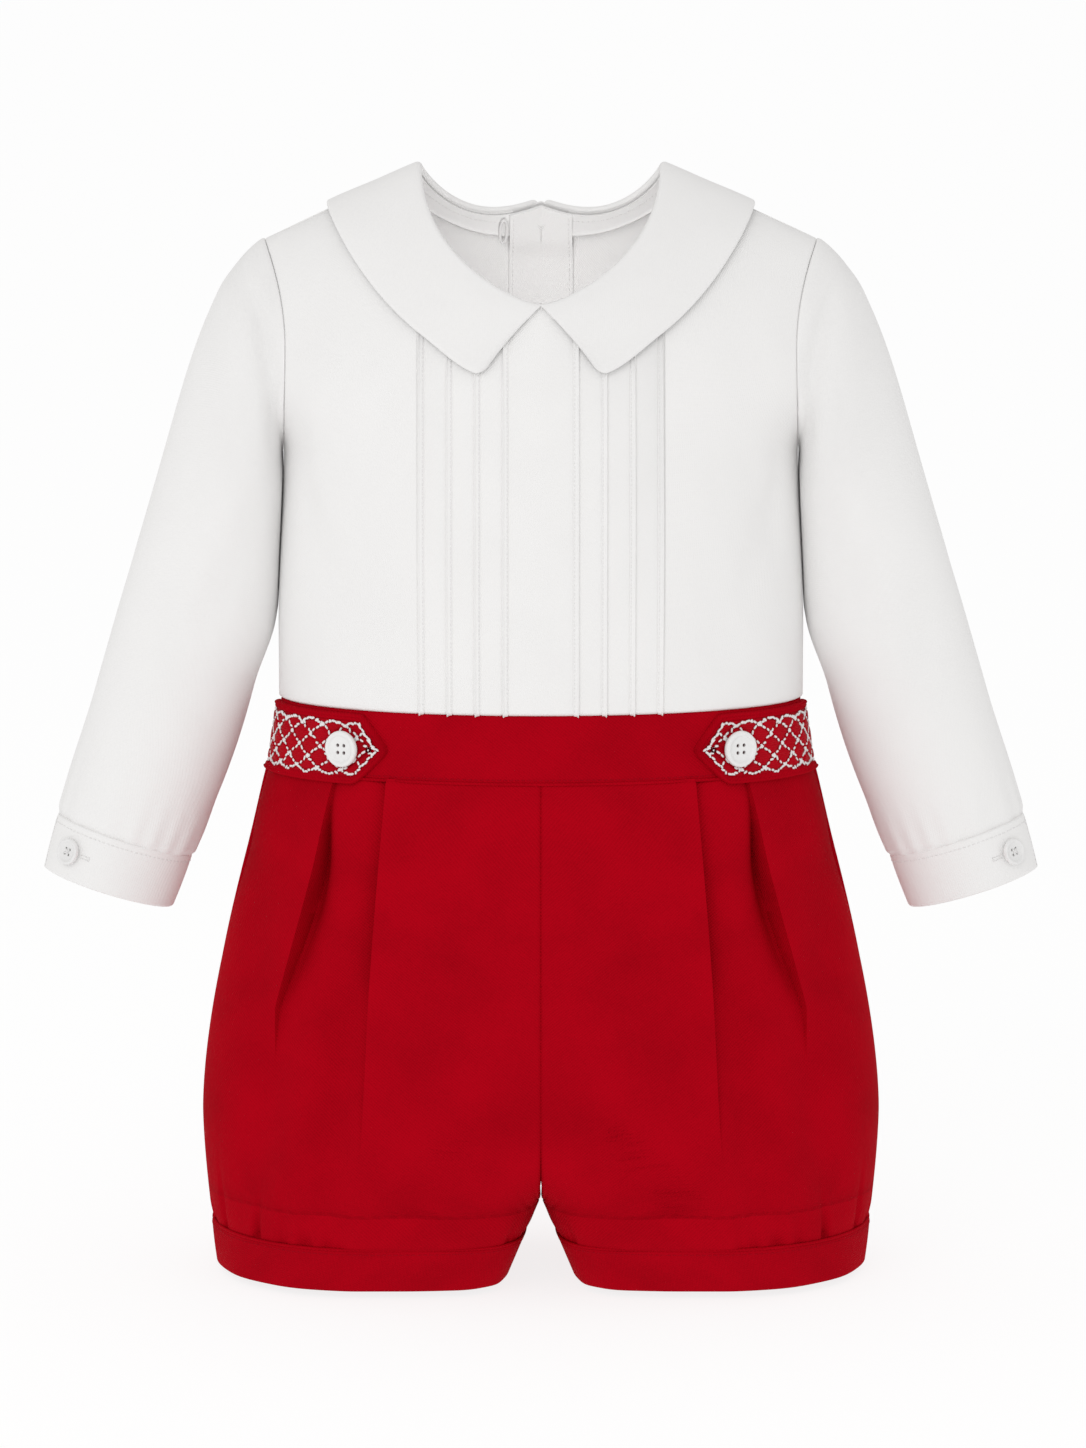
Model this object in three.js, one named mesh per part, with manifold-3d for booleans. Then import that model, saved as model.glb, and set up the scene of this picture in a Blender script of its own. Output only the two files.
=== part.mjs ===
// A toddler's two-piece outfit: a white long-sleeved shirt with a flat round collar and pintucks,
// buttoned down the back and tucked into red pleated bubble shorts with buttoned side tabs.
//
// Millimetres, +Z up. The front faces -Y and +X is the wearer's left. The origin is the middle of
// the shorts' hems, at the height of their lowest edge. Every piece of cloth is a closed shell.

import * as THREE from 'three';
import { mergeVertices } from 'three/addons/utils/BufferGeometryUtils.js';
import Module from 'manifold-3d';

const wasm = await Module();
wasm.setup();

// ---------------------------------------------------------------- driving dimensions

// Cloth layers
const gap = 0.3;                  // air between two pieces that touch
const shirtCloth = 1.6;
const shortsCloth = 1.8;
const liningCloth = 1.2;          // facings and the elastic

// Shorts, heights above the hems
const shortsLength = 250;         // hem to the top of the waistband
const waistbandDepth = 29;
const waistHalfWidth = 112;       // outside, at the waistband's top edge
const waistHalfDepth = 66;
const waistbandFlare = 4.4;       // how much wider the waistband is at its lower edge
const seatHeight = 68;            // where the shorts are widest
const seatHalfWidth = 146.2;
const seatHalfDepth = 80;
const hemHalfWidth = 141.7;
const hemHalfDepth = 62;
const crotchHeight = 42;
const forkHeight = 115;           // where the two legs begin to part inside the trunk
const legGapHalf = 14.5;          // half the space between the legs at the hems
const legBandDepth = 20;
const elasticHeight = 20;

// Pleats on the front: where each starts at the waistband and where it fades, how deep it folds
const pleats = [
  { topX: 64.5, lowX: 76, depth: 2.2, halfWidth: 5, fadeHeight: 70 },
  { topX: 87, lowX: 107, depth: 6.0, halfWidth: 8, fadeHeight: 100 },
];

// Side tabs on the waistband
const tabReach = 64.8;            // distance of the tip from the centre line
const tabPointLength = 12;
const tabTipShare = 0.14;         // height left at the blunt tip, as a share of the tab's height
const tabEndAngle = 2;            // degrees from the side seam to the sewn end
const tabCloth = 1.7;
const tabRim = 2.6;               // plain rim round the embroidery
const embroideryHeight = 0.6;
const tabButtonPlace = 82;        // distance of the button from the centre line
const tabButtonRadius = 7.5;
const tabButtonHeight = 3.2;

// Shirt body
const bodiceLength = 227;         // waistband top to the neck point of the shoulder
const bodiceHalfWidth = waistHalfWidth + 1.6;
const bodiceHalfDepthFront = 68;
const bodiceHalfDepthBack = 60;
const tailLength = 22;            // how far the shirt reaches down inside the waistband
const blouseHeight = 10;          // height in which it swells out over the waistband's edge
const bodiceTaper = 2.8;          // how much its half width narrows from there to the underarm
const neckHalfWidth = 52.4;
const neckDropFront = 56;         // neck point down to the front neckline
const neckDropBack = 16.2;
const shoulderDrop = 30;          // neck point down to the shoulder tip
const shoulderHalfWidth = bodiceHalfWidth + 4.4;
const armholeLength = 90;
const armholeHollow = 9.6;        // how far the armhole curves in from the shoulder tip
const chestHalfWidth = bodiceHalfWidth + 21.4; // what the chest's curve would reach at the arms
const chestSpread = 43;           // height above the underarm in which it reaches it
const shoulderRound = 177;        // height of the stretch that rolls over to the shoulder line

// Pintucks
const pintuckFirst = 15;          // distance of the innermost from the centre line
const pintuckPitch = 11.85;
const pintucksEachSide = 4;
const pintuckHeight = 0.8;
const pintuckWidth = 2;

// Collar and neck facing
const collarCloth = 1.8;
const collarShoulderReach = 90.5; // outer edge on the shoulder, from the centre line
const collarDropFront = 26.4;     // neckline down to the outer edge, in front
const collarDropBack = 35.9;
const collarFrontAngle = 75.6;    // where the outer edge ends in front, degrees from the shoulder
const collarBackAngle = 85;
const collarCorner = 4;           // radius of the rounded points
const facingDepth = 11;
const facingEase = 0.8;           // how far the facing hangs off the back, and more over the front
const facingFrontEase = 3.1;

// Back placket and its buttons
const placketHalfWidth = 12;
const placketLap = 1.5;           // how far the over strip covers each seam
const backButtonCount = 5;
const backButtonRadius = 5.5;
const backButtonHeight = 2.4;
const backButtonPitch = 36;
const backButtonDrop = 65;        // neck point down to the first button
const backButtonShank = 0.6;      // air under a back button, for its stitches
const loopHalfWidth = 4;
const loopHalfHeight = 7;
const loopCord = 0.8;             // radius of the hanging loop's cord
const loopPlace = -17;

// Sleeves and cuffs
const sleeveCloth = 1.6;
const sleeveLength = 264;         // shoulder tip to the level of the cuff's seam, along the arm
const sleeveAngle = 18;           // rest angle of the arm, degrees from straight down
const sleeveHalfDepth = 33;       // front to back at the upper arm
const cuffInset = 20.2;           // how far the cuff's middle lies inside that line
const cuffDepth = 24.6;
const cuffHalfWidth = 30.1;
const cuffHalfDepth = 23;
const cuffTaper = 1.3;
const cuffCloth = 1.8;
const cuffButtonAngle = 50;       // degrees round the cuff, from its outer side to the front
const cuffButtonRadius = 5.75;
const cuffButtonHeight = 2.4;

// Finishes
const white = new THREE.MeshStandardMaterial({ color: 0xf0eeec, roughness: 0.9, metalness: 0 });
const red = new THREE.MeshStandardMaterial({ color: 0xa00114, roughness: 0.85, metalness: 0 });
const thread = new THREE.MeshStandardMaterial({ color: 0xf4f0ee, roughness: 0.6, metalness: 0 });
const shell = new THREE.MeshStandardMaterial({ color: 0xecebea, roughness: 0.3, metalness: 0 });
const webbing = new THREE.MeshStandardMaterial({ color: 0xe6e4e2, roughness: 0.95, metalness: 0 });

const group = new THREE.Group();
const front = -1;
const back = 1;

// ---------------------------------------------------------------- small tools

const radians = THREE.MathUtils.degToRad;
const mix = THREE.MathUtils.lerp;
const smooth = (low, high, value) => THREE.MathUtils.smoothstep(value, low, high);

function addMesh(name, geometry, material) {
  const mesh = new THREE.Mesh(geometry, material);
  mesh.name = name;
  group.add(mesh);
  return mesh;
}

// Six times the volume that the faces enclose, positive when they point out.
function signedVolume(geometry) {
  const place = geometry.attributes.position;
  const [a, b, c] = [new THREE.Vector3(), new THREE.Vector3(), new THREE.Vector3()];
  let total = 0;
  for (let i = 0; i < geometry.index.count; i += 3) {
    a.fromBufferAttribute(place, geometry.index.getX(i));
    b.fromBufferAttribute(place, geometry.index.getX(i + 1));
    c.fromBufferAttribute(place, geometry.index.getX(i + 2));
    total += a.dot(b.cross(c));
  }
  return total;
}

// Welds a closed mesh's shared corners and turns its faces outward.
function closed(geometry) {
  geometry.deleteAttribute('normal');
  geometry.deleteAttribute('uv');
  const welded = mergeVertices(geometry, 1e-4);
  if (signedVolume(welded) < 0) {
    const corner = welded.index.array;
    for (let i = 0; i < corner.length; i += 3) {
      [corner[i], corner[i + 1]] = [corner[i + 1], corner[i]];
    }
  }
  welded.computeVertexNormals();
  return welded;
}

// A panel of cloth: a flat slab bent to shape. place(u, v, w) takes three shares from 0 to 1, along
// the panel, up it and through its thickness, and gives the point. columns may be a count or a list
// of shares.
function panel(columns, rows, place) {
  const list = Array.isArray(columns) ? columns : null;
  const count = list ? list.length - 1 : columns;
  const geometry = new THREE.BoxGeometry(1, 1, 1, count, rows, 1);
  const point = geometry.attributes.position;
  for (let i = 0; i < point.count; i += 1) {
    const share = point.getX(i) + 0.5;
    const u = list ? list[Math.round(share * count)] : share;
    const bent = place(u, point.getY(i) + 0.5, point.getZ(i) + 0.5);
    point.setXYZ(i, bent.x, bent.y, bent.z);
  }
  return closed(geometry);
}

// A tube of cloth: a lathed ring bent to shape. place(angle, v, w) takes the angle round the tube,
// the share along it and the share through its wall.
function tube(sides, rows, place) {
  const profile = [new THREE.Vector2(1, 0), new THREE.Vector2(2, 0)];
  for (let row = 1; row <= rows; row += 1) profile.push(new THREE.Vector2(2, row / rows));
  for (let row = rows; row >= 0; row -= 1) profile.push(new THREE.Vector2(1, row / rows));
  const geometry = new THREE.LatheGeometry(profile, sides);
  const point = geometry.attributes.position;
  for (let i = 0; i < point.count; i += 1) {
    const radius = Math.hypot(point.getX(i), point.getZ(i));
    const angle = Math.atan2(point.getX(i), point.getZ(i));
    const bent = place(angle, point.getY(i), radius - 1);
    point.setXYZ(i, bent.x, bent.y, bent.z);
  }
  return closed(geometry);
}

// The other side's copy: x changes sign, and closed() turns the faces back out.
function mirrored(geometry) {
  return closed(geometry.clone().scale(-1, 1, 1));
}

function addPair(name, geometry, material) {
  addMesh(`${name}_left`, geometry, material);
  addMesh(`${name}_right`, mirrored(geometry), material);
}

// The direction square to a surface given by point(a, b), pointing away from the place `inside`.
function squareTo(point, a, b, inside) {
  const step = 1e-3;
  const along = point(a + step, b).sub(point(a - step, b));
  const up = point(a, b + step).sub(point(a, b - step));
  const out = along.cross(up).normalize();
  return out.dot(point(a, b).sub(inside)) < 0 ? out.negate() : out;
}

// ---------------------------------------------------------------- levels and shared surfaces

const waistTop = shortsLength;
const waistLow = waistTop - waistbandDepth;
const neckPoint = waistTop + bodiceLength;
const shoulderTip = neckPoint - shoulderDrop;
const underarm = shoulderTip - armholeLength;
const shoulderSpring = neckPoint - shoulderRound;
const shoulderSlope = shoulderDrop / (shoulderHalfWidth - neckHalfWidth);

// How far each layer at the waist lies inside the waistband's outer face
const elasticInset = shortsCloth + gap;
const waistFacingInset = elasticInset + liningCloth + gap;
const overStripHeight = gap + shirtCloth;
const tailInset = waistFacingInset + liningCloth + gap + Math.max(overStripHeight, pintuckHeight);
const tailHalfWidth = waistHalfWidth - tailInset - gap;
const tailHalfDepth = waistHalfDepth - tailInset - gap;

// Height of the shoulder line at a distance x from the centre
const ridge = (x) => neckPoint + shoulderSlope * (neckHalfWidth - Math.abs(x));

// Half width and half depth of the shirt's round section at a height
function bodiceWidth(z) {
  const tucked = smooth(waistTop, waistTop + blouseHeight, z);
  const blouse = mix(tailHalfWidth, bodiceHalfWidth, tucked);
  const taper = bodiceTaper * smooth(waistTop + 3 * blouseHeight, underarm, z);
  const spread = chestHalfWidth - bodiceHalfWidth + bodiceTaper;
  return blouse - taper + spread * smooth(underarm, underarm + chestSpread, z);
}

function bodiceDepth(z, side) {
  const full = side === front ? bodiceHalfDepthFront : bodiceHalfDepthBack;
  return mix(tailHalfDepth, full, smooth(waistTop, waistTop + 1.4 * blouseHeight, z));
}

// Squared share of the depth that is left where the chest rolls over to the shoulder line
function shoulderRoll(x, z) {
  if (z <= shoulderSpring) return 1;
  const rise = (z - shoulderSpring) / (ridge(x) - shoulderSpring);
  return 1 - rise * rise;
}

// The shirt's outer face as y over (x, z)
function bodiceY(x, z, side) {
  const across = x / bodiceWidth(z);
  const left = Math.max(0, (1 - across * across) * shoulderRoll(x, z));
  return side * bodiceDepth(z, side) * Math.sqrt(left);
}

// The same face as z over (x, y), above the armholes
function bodiceZ(x, y, side) {
  let z = shoulderTip;
  for (let turn = 0; turn < 25; turn += 1) {
    const across = x / bodiceWidth(z);
    const part = y / (bodiceDepth(z, side) * Math.sqrt(1 - across * across));
    const height = (ridge(x) - shoulderSpring) * Math.sqrt(Math.max(0, 1 - part * part));
    z = shoulderSpring + height;
  }
  return z;
}

// Outward direction on the shirt: the downhill slope of the section's equation
function bodiceOut(p, side) {
  const inside = (x, y, z) => {
    const across = x / bodiceWidth(z);
    const deep = y / bodiceDepth(z, side);
    return (1 - across * across) * shoulderRoll(x, z) - deep * deep;
  };
  const h = 0.05;
  return new THREE.Vector3(
    inside(p.x - h, p.y, p.z) - inside(p.x + h, p.y, p.z),
    inside(p.x, p.y - h, p.z) - inside(p.x, p.y + h, p.z),
    inside(p.x, p.y, p.z - h) - inside(p.x, p.y, p.z + h),
  ).normalize();
}

// A point on the shirt, a distance off its outer face
function onBodice(x, y, z, side, off) {
  const p = new THREE.Vector3(x, y, z);
  return p.addScaledVector(bodiceOut(p, side), off);
}

// Armhole: distance of its edge from the centre line at a height
function armholeX(z) {
  const middle = mix(underarm, shoulderTip, 0.5);
  const rise = (z - middle) / (shoulderTip - middle);
  const inner = shoulderHalfWidth - armholeHollow;
  const low = bodiceWidth(underarm) - inner;
  return rise > 0 ? inner + armholeHollow * rise * rise : inner + low * rise * rise;
}

// Edge of the body panels: the side seam below the arm and the armhole above it
const bodyEdge = (z) => (z > underarm ? armholeX(z) : bodiceWidth(z));

// How far forward or back of the shoulder line the shirt lies at a height on its centre line
const reachAt = (z, side) => Math.abs(bodiceY(0, z, side));
const neckFrontZ = neckPoint - neckDropFront;
const neckBackZ = neckPoint - neckDropBack;
const neckReach = { [front]: reachAt(neckFrontZ, front), [back]: reachAt(neckBackZ, back) };

// The neckline is a rounded oval in plan, drawn out to a soft point at the centre front: the powers
// bend it across and front to back. Its points by angle from the shoulder, and its y over x.
const ovalPowers = { [front]: { across: 1.43, deep: 0.56 }, [back]: { across: 0.85, deep: 0.85 } };

function necklinePlan(angle, side) {
  const { across, deep } = ovalPowers[side];
  return {
    x: neckHalfWidth * Math.abs(Math.cos(angle)) ** across,
    y: neckReach[side] * Math.abs(Math.sin(angle)) ** deep,
  };
}

function necklineY(x, side) {
  const { across, deep } = ovalPowers[side];
  const share = Math.min(1, Math.abs(x) / neckHalfWidth);
  return neckReach[side] * (1 - share ** (2 / across)) ** (deep / 2);
}

// ---------------------------------------------------------------- shirt body

// Rows of every body panel: fixed levels round the tuck into the waistband, then shares of the turn
// from the last of them to the shoulder line or neckline
const tuckLevels = [-tailLength, 1, 5, 10, 18].map((rise) => waistTop + rise);
const bodyRows = 12;

// A point on a body panel's column. acrossAt(z) gives the column's distance from the centre line.
function bodyPoint(acrossAt, v, side, off) {
  const row = Math.round(v * bodyRows);
  const last = tuckLevels.length - 1;
  let z = tuckLevels[Math.min(row, last)];
  let x = acrossAt(z);
  if (row > last) {
    const share = (row - last) / (bodyRows - last);
    for (let turn = 0; turn < 30; turn += 1) {
      const across = x / bodiceWidth(z);
      const full = bodiceDepth(z, side) * Math.sqrt(Math.max(0.001, 1 - across * across));
      const top = Math.acos(Math.min(1, Math.max(necklineY(x, side), gap / 2) / full));
      const span = ridge(x) - shoulderSpring;
      const bottom = (tuckLevels[last] - shoulderSpring) / span;
      const angle = mix(bottom, top, share);
      z = shoulderSpring + span * (angle > 0 ? Math.sin(angle) : angle);
      x = acrossAt(z);
    }
  }
  let y = bodiceY(x, z, side);
  if (Math.abs(y) < gap / 2) y = side * gap / 2;
  return onBodice(x, y, z, side, off);
}

// Columns stand upright in the middle half of the front and lean to follow the edge beyond it
function columnAcross(u) {
  return (z) => {
    const pull = (bodyEdge(z) - bodiceHalfWidth) * smooth(0.5, 1, Math.abs(u));
    return Math.sign(u) * (Math.abs(u) * bodiceHalfWidth + pull);
  };
}

const tuckPlace = (k) => pintuckFirst + k * pintuckPitch;
const crestShift = 0.3 * pintuckWidth;   // each fold leans outward

// Shares for columns from the centre to the edge: those asked for, close ones up to the end of the
// neckline, which is steep there, and a spread from there to the edge
const closeColumns = 30;                 // in a pintuck's pitch

function halfColumns(places) {
  const neckEnd = neckHalfWidth + gap;
  const last = Math.max(...places);
  const more = Math.max(0, Math.ceil(closeColumns * (neckEnd - last) / pintuckPitch));
  const toNeck = [neckEnd];
  for (let k = 1; k <= more; k += 1) toNeck.push(mix(last, neckEnd, k / (more + 1)));
  const list = [...places, ...toNeck].sort((a, b) => a - b).map((x) => x / bodiceHalfWidth);
  const start = Math.asin(list[list.length - 1]);
  const spread = 8;
  for (let k = 1; k <= spread; k += 1) list.push(Math.sin(mix(start, Math.PI / 2, k / spread)));
  return list;
}

// Across the front: three columns for each pintuck, at its two feet and its crest
function frontColumns() {
  const places = [0];
  for (let k = 0; k < pintucksEachSide; k += 1) {
    for (const step of [-pintuckWidth / 2, crestShift, pintuckWidth / 2]) {
      places.push(tuckPlace(k) + step);
    }
  }
  const list = halfColumns(places);
  return [...list.slice(1).map((share) => -share).reverse(), ...list];
}

function isCrest(u) {
  const x = Math.abs(u) * bodiceHalfWidth - crestShift;
  const nearest = Math.round((x - pintuckFirst) / pintuckPitch);
  return nearest >= 0 && nearest < pintucksEachSide && Math.abs(x - tuckPlace(nearest)) < 0.01;
}

function buildShirtBody() {
  // Front: one panel from side to side, its pintucks standing on the outer face
  const frontPanel = panel(frontColumns(), bodyRows, (u, v, w) => {
    const rise = isCrest(u) ? pintuckHeight : 0;
    return bodyPoint(columnAcross(u), v, front, mix(-shirtCloth, rise, w));
  });
  addMesh('shirt_front', frontPanel, white);

  // Back: two panels that stop at the placket
  const inner = placketHalfWidth + gap / 2;
  const toNeckEnd = [0, 0.3, 0.55, 0.75, 0.88, 0.96].map((k) => mix(inner, neckHalfWidth, k));
  const backPanel = panel(halfColumns(toNeckEnd), bodyRows, (u, v, w) => (
    bodyPoint(columnAcross(u), v, back, mix(-shirtCloth, 0, w))
  ));
  addPair('shirt_back', backPanel, white);
}

// A strip down the middle of the back, from the neckline to the end of the tail
function backStrip(halfWidth, inner, outer) {
  return panel(4, bodyRows, (u, v, w) => {
    const x = mix(-halfWidth, halfWidth, u);
    return bodyPoint(() => x, v, back, mix(inner, outer, w));
  });
}

function buildPlacket() {
  const under = backStrip(placketHalfWidth - gap / 2, -shirtCloth, 0);
  const over = backStrip(placketHalfWidth + placketLap, gap, gap + shirtCloth);
  addMesh('back_placket_under', under, white);
  addMesh('back_placket_over', over, white);
}

// ---------------------------------------------------------------- buttons

// A round four-hole button, its back at z = 0 and its raised rim facing +z
function buttonGeometry(radius, height) {
  const rim = radius * 0.22;
  const edge = height * 0.3;
  const points = [
    new THREE.Vector2(0, 0),
    new THREE.Vector2(radius * 0.8, 0),
    new THREE.Vector2(radius, edge),
    new THREE.Vector2(radius, height - edge),
    new THREE.Vector2(radius - edge, height),
    new THREE.Vector2(radius - rim, height),
    new THREE.Vector2(radius - rim * 1.6, height * 0.7),
    new THREE.Vector2(0, height * 0.6),
  ];
  const disc = closed(new THREE.LatheGeometry(points, 16).rotateX(Math.PI / 2));
  let solid = toManifold(disc);
  const holeRadius = radius * 0.11;
  const holePlace = radius * 0.24;
  for (const x of [-1, 1]) {
    for (const y of [-1, 1]) {
      const drill = new THREE.CylinderGeometry(holeRadius, holeRadius, height * 3, 5);
      drill.rotateX(Math.PI / 2).translate(x * holePlace, y * holePlace, 0);
      solid = solid.subtract(toManifold(closed(drill)));
    }
  }
  return fromManifold(solid);
}

function toManifold(geometry) {
  const vertProperties = Float32Array.from(geometry.attributes.position.array);
  const triVerts = Uint32Array.from(geometry.index.array);
  return new wasm.Manifold(new wasm.Mesh({ numProp: 3, vertProperties, triVerts }));
}

function fromManifold(solid) {
  const mesh = solid.getMesh();
  const geometry = new THREE.BufferGeometry();
  geometry.setAttribute('position', new THREE.BufferAttribute(mesh.vertProperties, 3));
  geometry.setIndex(new THREE.BufferAttribute(mesh.triVerts, 1));
  geometry.computeVertexNormals();
  return geometry;
}

// Puts a button on a surface: its back at `place`, facing `out`
function addButton(name, geometry, place, out) {
  const mesh = addMesh(name, geometry, shell);
  mesh.position.copy(place);
  mesh.quaternion.setFromUnitVectors(new THREE.Vector3(0, 0, 1), out);
}

function buildBackButtons() {
  const geometry = buttonGeometry(backButtonRadius, backButtonHeight);
  const seat = overStripHeight + backButtonShank;
  for (let k = 0; k < backButtonCount; k += 1) {
    const z = neckPoint - backButtonDrop - k * backButtonPitch;
    const place = new THREE.Vector3(0, bodiceY(0, z, back), z);
    const out = bodiceOut(place, back);
    addButton(`back_button_${k + 1}`, geometry, place.addScaledVector(out, seat), out);
  }
}

// ---------------------------------------------------------------- collar and neck facing

// Plan of a band round the neckline, by angle from the shoulder and share from the neckline out
function neckBandPlan(angle, outerAngle, w, side, outerX, outerReach) {
  const neck = necklinePlan(angle, side);
  return {
    x: mix(neck.x, outerX * Math.abs(Math.cos(outerAngle)), w),
    y: mix(neck.y, outerReach[side] * Math.abs(Math.sin(outerAngle)), w),
  };
}

const collarReach = {
  [front]: reachAt(neckFrontZ - collarDropFront, front),
  [back]: reachAt(neckBackZ - collarDropBack, back),
};
const collarLastAngle = { [front]: collarFrontAngle, [back]: collarBackAngle };

// A point in plan on one collar half. angle runs from a quarter turn at the centre front, through
// 0 on the shoulder, to minus a quarter turn at the centre back. w runs from the neckline out.
function collarPlan(angle, w) {
  const side = angle > 0 ? front : back;
  const share = Math.abs(angle) / (Math.PI / 2);
  const last = radians(collarLastAngle[side]);
  const width = side === front ? collarDropFront : collarDropBack;
  const fromEnd = (1 - share) * collarShoulderReach * last;
  const into = Math.max(0, 1 - fromEnd / collarCorner);
  const lost = (collarCorner / width) * (1 - Math.sqrt(1 - into * into));
  const across = w * (1 - lost);
  const plan = neckBandPlan(angle, share * last, across, side, collarShoulderReach, collarReach);
  return { x: Math.max(gap / 2, plan.x), y: plan.y, side };
}

// Angles of a neck band from the shoulder to its end, closer together where it turns over the
// shoulder and, with a corner, at its rounded end
function neckAngles(corner) {
  const list = [0, 0.4, 1.6, 4, 8, 13, 20, 30, 42, 54, 66, 78].map(radians);
  const quarter = Math.PI / 2;
  if (corner) {
    const turn = corner / collarShoulderReach;
    for (const share of [1, 0.6, 0.3, 0.1, 0]) list.push(quarter - turn * share);
  } else {
    list.push(quarter);
  }
  return list;
}

function buildCollar() {
  const half = neckAngles(collarCorner);
  const list = [...half.slice(1).reverse(), ...half.map((angle) => -angle)];
  const geometry = panel(list, 4, (angle, w, layer) => {
    const plan = collarPlan(angle, w);
    const lift = mix(pintuckHeight, overStripHeight, smooth(0.2, 0.9, -angle)) + gap;
    const z = bodiceZ(plan.x, plan.y, plan.side);
    return onBodice(plan.x, plan.side * plan.y, z, plan.side, lift + layer * collarCloth);
  });
  addPair('collar', geometry, white);
}

// A strip of lining inside the neckline, open at the centre back
function buildNeckFacing() {
  const reach = {
    [front]: reachAt(neckFrontZ - facingDepth, front),
    [back]: reachAt(neckBackZ - facingDepth, back),
  };
  const outerX = neckHalfWidth + facingDepth;
  // From the centre back over one shoulder, round the front and back over the other
  const half = neckAngles(0);
  const rising = half.slice(0, -1).reverse();
  const list = [
    -Math.PI / 2, ...rising.map((angle) => -angle), ...half.slice(1),
    ...rising.map((angle) => Math.PI - angle), ...half.slice(1).map((angle) => Math.PI + angle),
  ];
  const geometry = panel(list, 2, (angle, w, layer) => {
    const across = Math.sign(Math.cos(angle)) || 1;
    const side = Math.sin(angle) > 0 ? front : back;
    const plan = neckBandPlan(angle, angle, w, side, outerX, reach);
    const x = across * (side === back ? Math.max(plan.x, gap) : plan.x);
    const z = bodiceZ(x, plan.y, side);
    const ease = mix(facingEase, facingFrontEase, smooth(-0.9, -0.2, Math.sin(angle)));
    const off = -shirtCloth - ease - (1 - layer) * liningCloth;
    return onBodice(x, side * plan.y, z, side, off);
  });
  addMesh('neck_facing', geometry, white);
}

// The hanging loop inside the back neck, sewn to the facing
function buildHangerLoop() {
  const z = neckBackZ - facingDepth;
  const inset = shirtCloth + facingEase + liningCloth + gap + loopCord;
  const place = onBodice(loopPlace, bodiceY(loopPlace, z, back), z, back, -inset);
  const out = bodiceOut(place, back);
  const ring = new THREE.TorusGeometry(loopHalfWidth - loopCord, loopCord, 6, 20);
  ring.scale(1, (loopHalfHeight - loopCord) / (loopHalfWidth - loopCord), 1);
  const mesh = addMesh('hanger_loop', closed(ring), thread);
  mesh.position.copy(place);
  mesh.quaternion.setFromUnitVectors(new THREE.Vector3(0, 0, 1), out);
}

// ---------------------------------------------------------------- sleeves and cuffs

// Along the arm and across it, at rest, in the x-z plane
const armDown = new THREE.Vector2(Math.sin(radians(sleeveAngle)), -Math.cos(radians(sleeveAngle)));
const armOut = new THREE.Vector2(-armDown.y, armDown.x);

// Middle of the cuff's upper seam
const cuffTopMiddle = new THREE.Vector2(shoulderHalfWidth, shoulderTip)
  .addScaledVector(armDown, sleeveLength)
  .addScaledVector(armOut, -cuffInset);

// Outer and inner contours of the sleeve seen from the front. Each curve's two inner control points
// lie a share of the way down it, the outer one's further out for the sleeve's fullness.
function sleeveContours() {
  const outerEnd = cuffTopMiddle.clone().addScaledVector(armOut, cuffHalfWidth);
  const innerEnd = cuffTopMiddle.clone().addScaledVector(armOut, -cuffHalfWidth);
  const tip = new THREE.Vector2(shoulderHalfWidth, shoulderTip);
  const pit = new THREE.Vector2(bodiceWidth(underarm) + gap, underarm);
  const fall = shoulderTip - outerEnd.y;
  const drop = underarm - innerEnd.y;
  return {
    outer: new THREE.CubicBezierCurve(
      tip,
      new THREE.Vector2(tip.x + 25, tip.y - fall * 0.035),
      new THREE.Vector2(mix(tip.x, outerEnd.x, 0.37), tip.y - fall * 0.23),
      outerEnd,
    ),
    inner: new THREE.CubicBezierCurve(
      pit,
      new THREE.Vector2(pit.x + 6, pit.y - drop * 0.26),
      new THREE.Vector2(pit.x - 4, pit.y - drop * 0.46),
      innerEnd,
    ),
  };
}

const contours = sleeveContours();

// The armhole's edge in space, by angle from the shoulder tip, front side first
function armholePoint(angle) {
  const z = mix(underarm, shoulderTip, 0.5 + 0.5 * Math.cos(angle));
  const side = Math.sin(angle) >= 0 ? front : back;
  const x = armholeX(z);
  return new THREE.Vector3(x, bodiceY(x, z, side), z);
}

// A point on the sleeve's outer face: angle 0 is the outer contour, a quarter turn is the front
function sleevePoint(angle, s) {
  const o = contours.outer.getPoint(s);
  const i = contours.inner.getPoint(s);
  const depth = mix(sleeveHalfDepth, cuffHalfDepth, smooth(0, 1, s));
  const share = 0.5 + 0.5 * Math.cos(angle);
  const oval = new THREE.Vector3(
    mix(i.x, o.x, share),
    -depth * Math.sin(angle),
    mix(i.y, o.y, share),
  );
  const seam = armholePoint(angle);
  seam.x += gap * 2;
  return seam.lerp(oval, smooth(0, 0.3, s));
}

function buildSleeves() {
  const geometry = tube(20, 10, (angle, v, layer) => {
    const s = v * (1 - gap / sleeveLength);
    const p = sleevePoint(angle, s);
    const o = contours.outer.getPoint(s);
    const i = contours.inner.getPoint(s);
    const inside = new THREE.Vector3((o.x + i.x) / 2, 0, (o.y + i.y) / 2);
    const out = squareTo(sleevePoint, angle, Math.min(Math.max(s, 0.02), 0.99), inside);
    return p.addScaledVector(out, (layer - 1) * sleeveCloth);
  });
  addPair('sleeve', geometry, white);
}

// A point on the cuff's outer face
function cuffPoint(angle, v) {
  const half = cuffHalfWidth - cuffTaper * v;
  const deep = cuffHalfDepth - cuffTaper * v;
  const middle = cuffTopMiddle.clone().addScaledVector(armDown, gap + v * cuffDepth);
  const side = middle.addScaledVector(armOut, half * Math.cos(angle));
  return new THREE.Vector3(side.x, -deep * Math.sin(angle), side.y);
}

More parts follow.
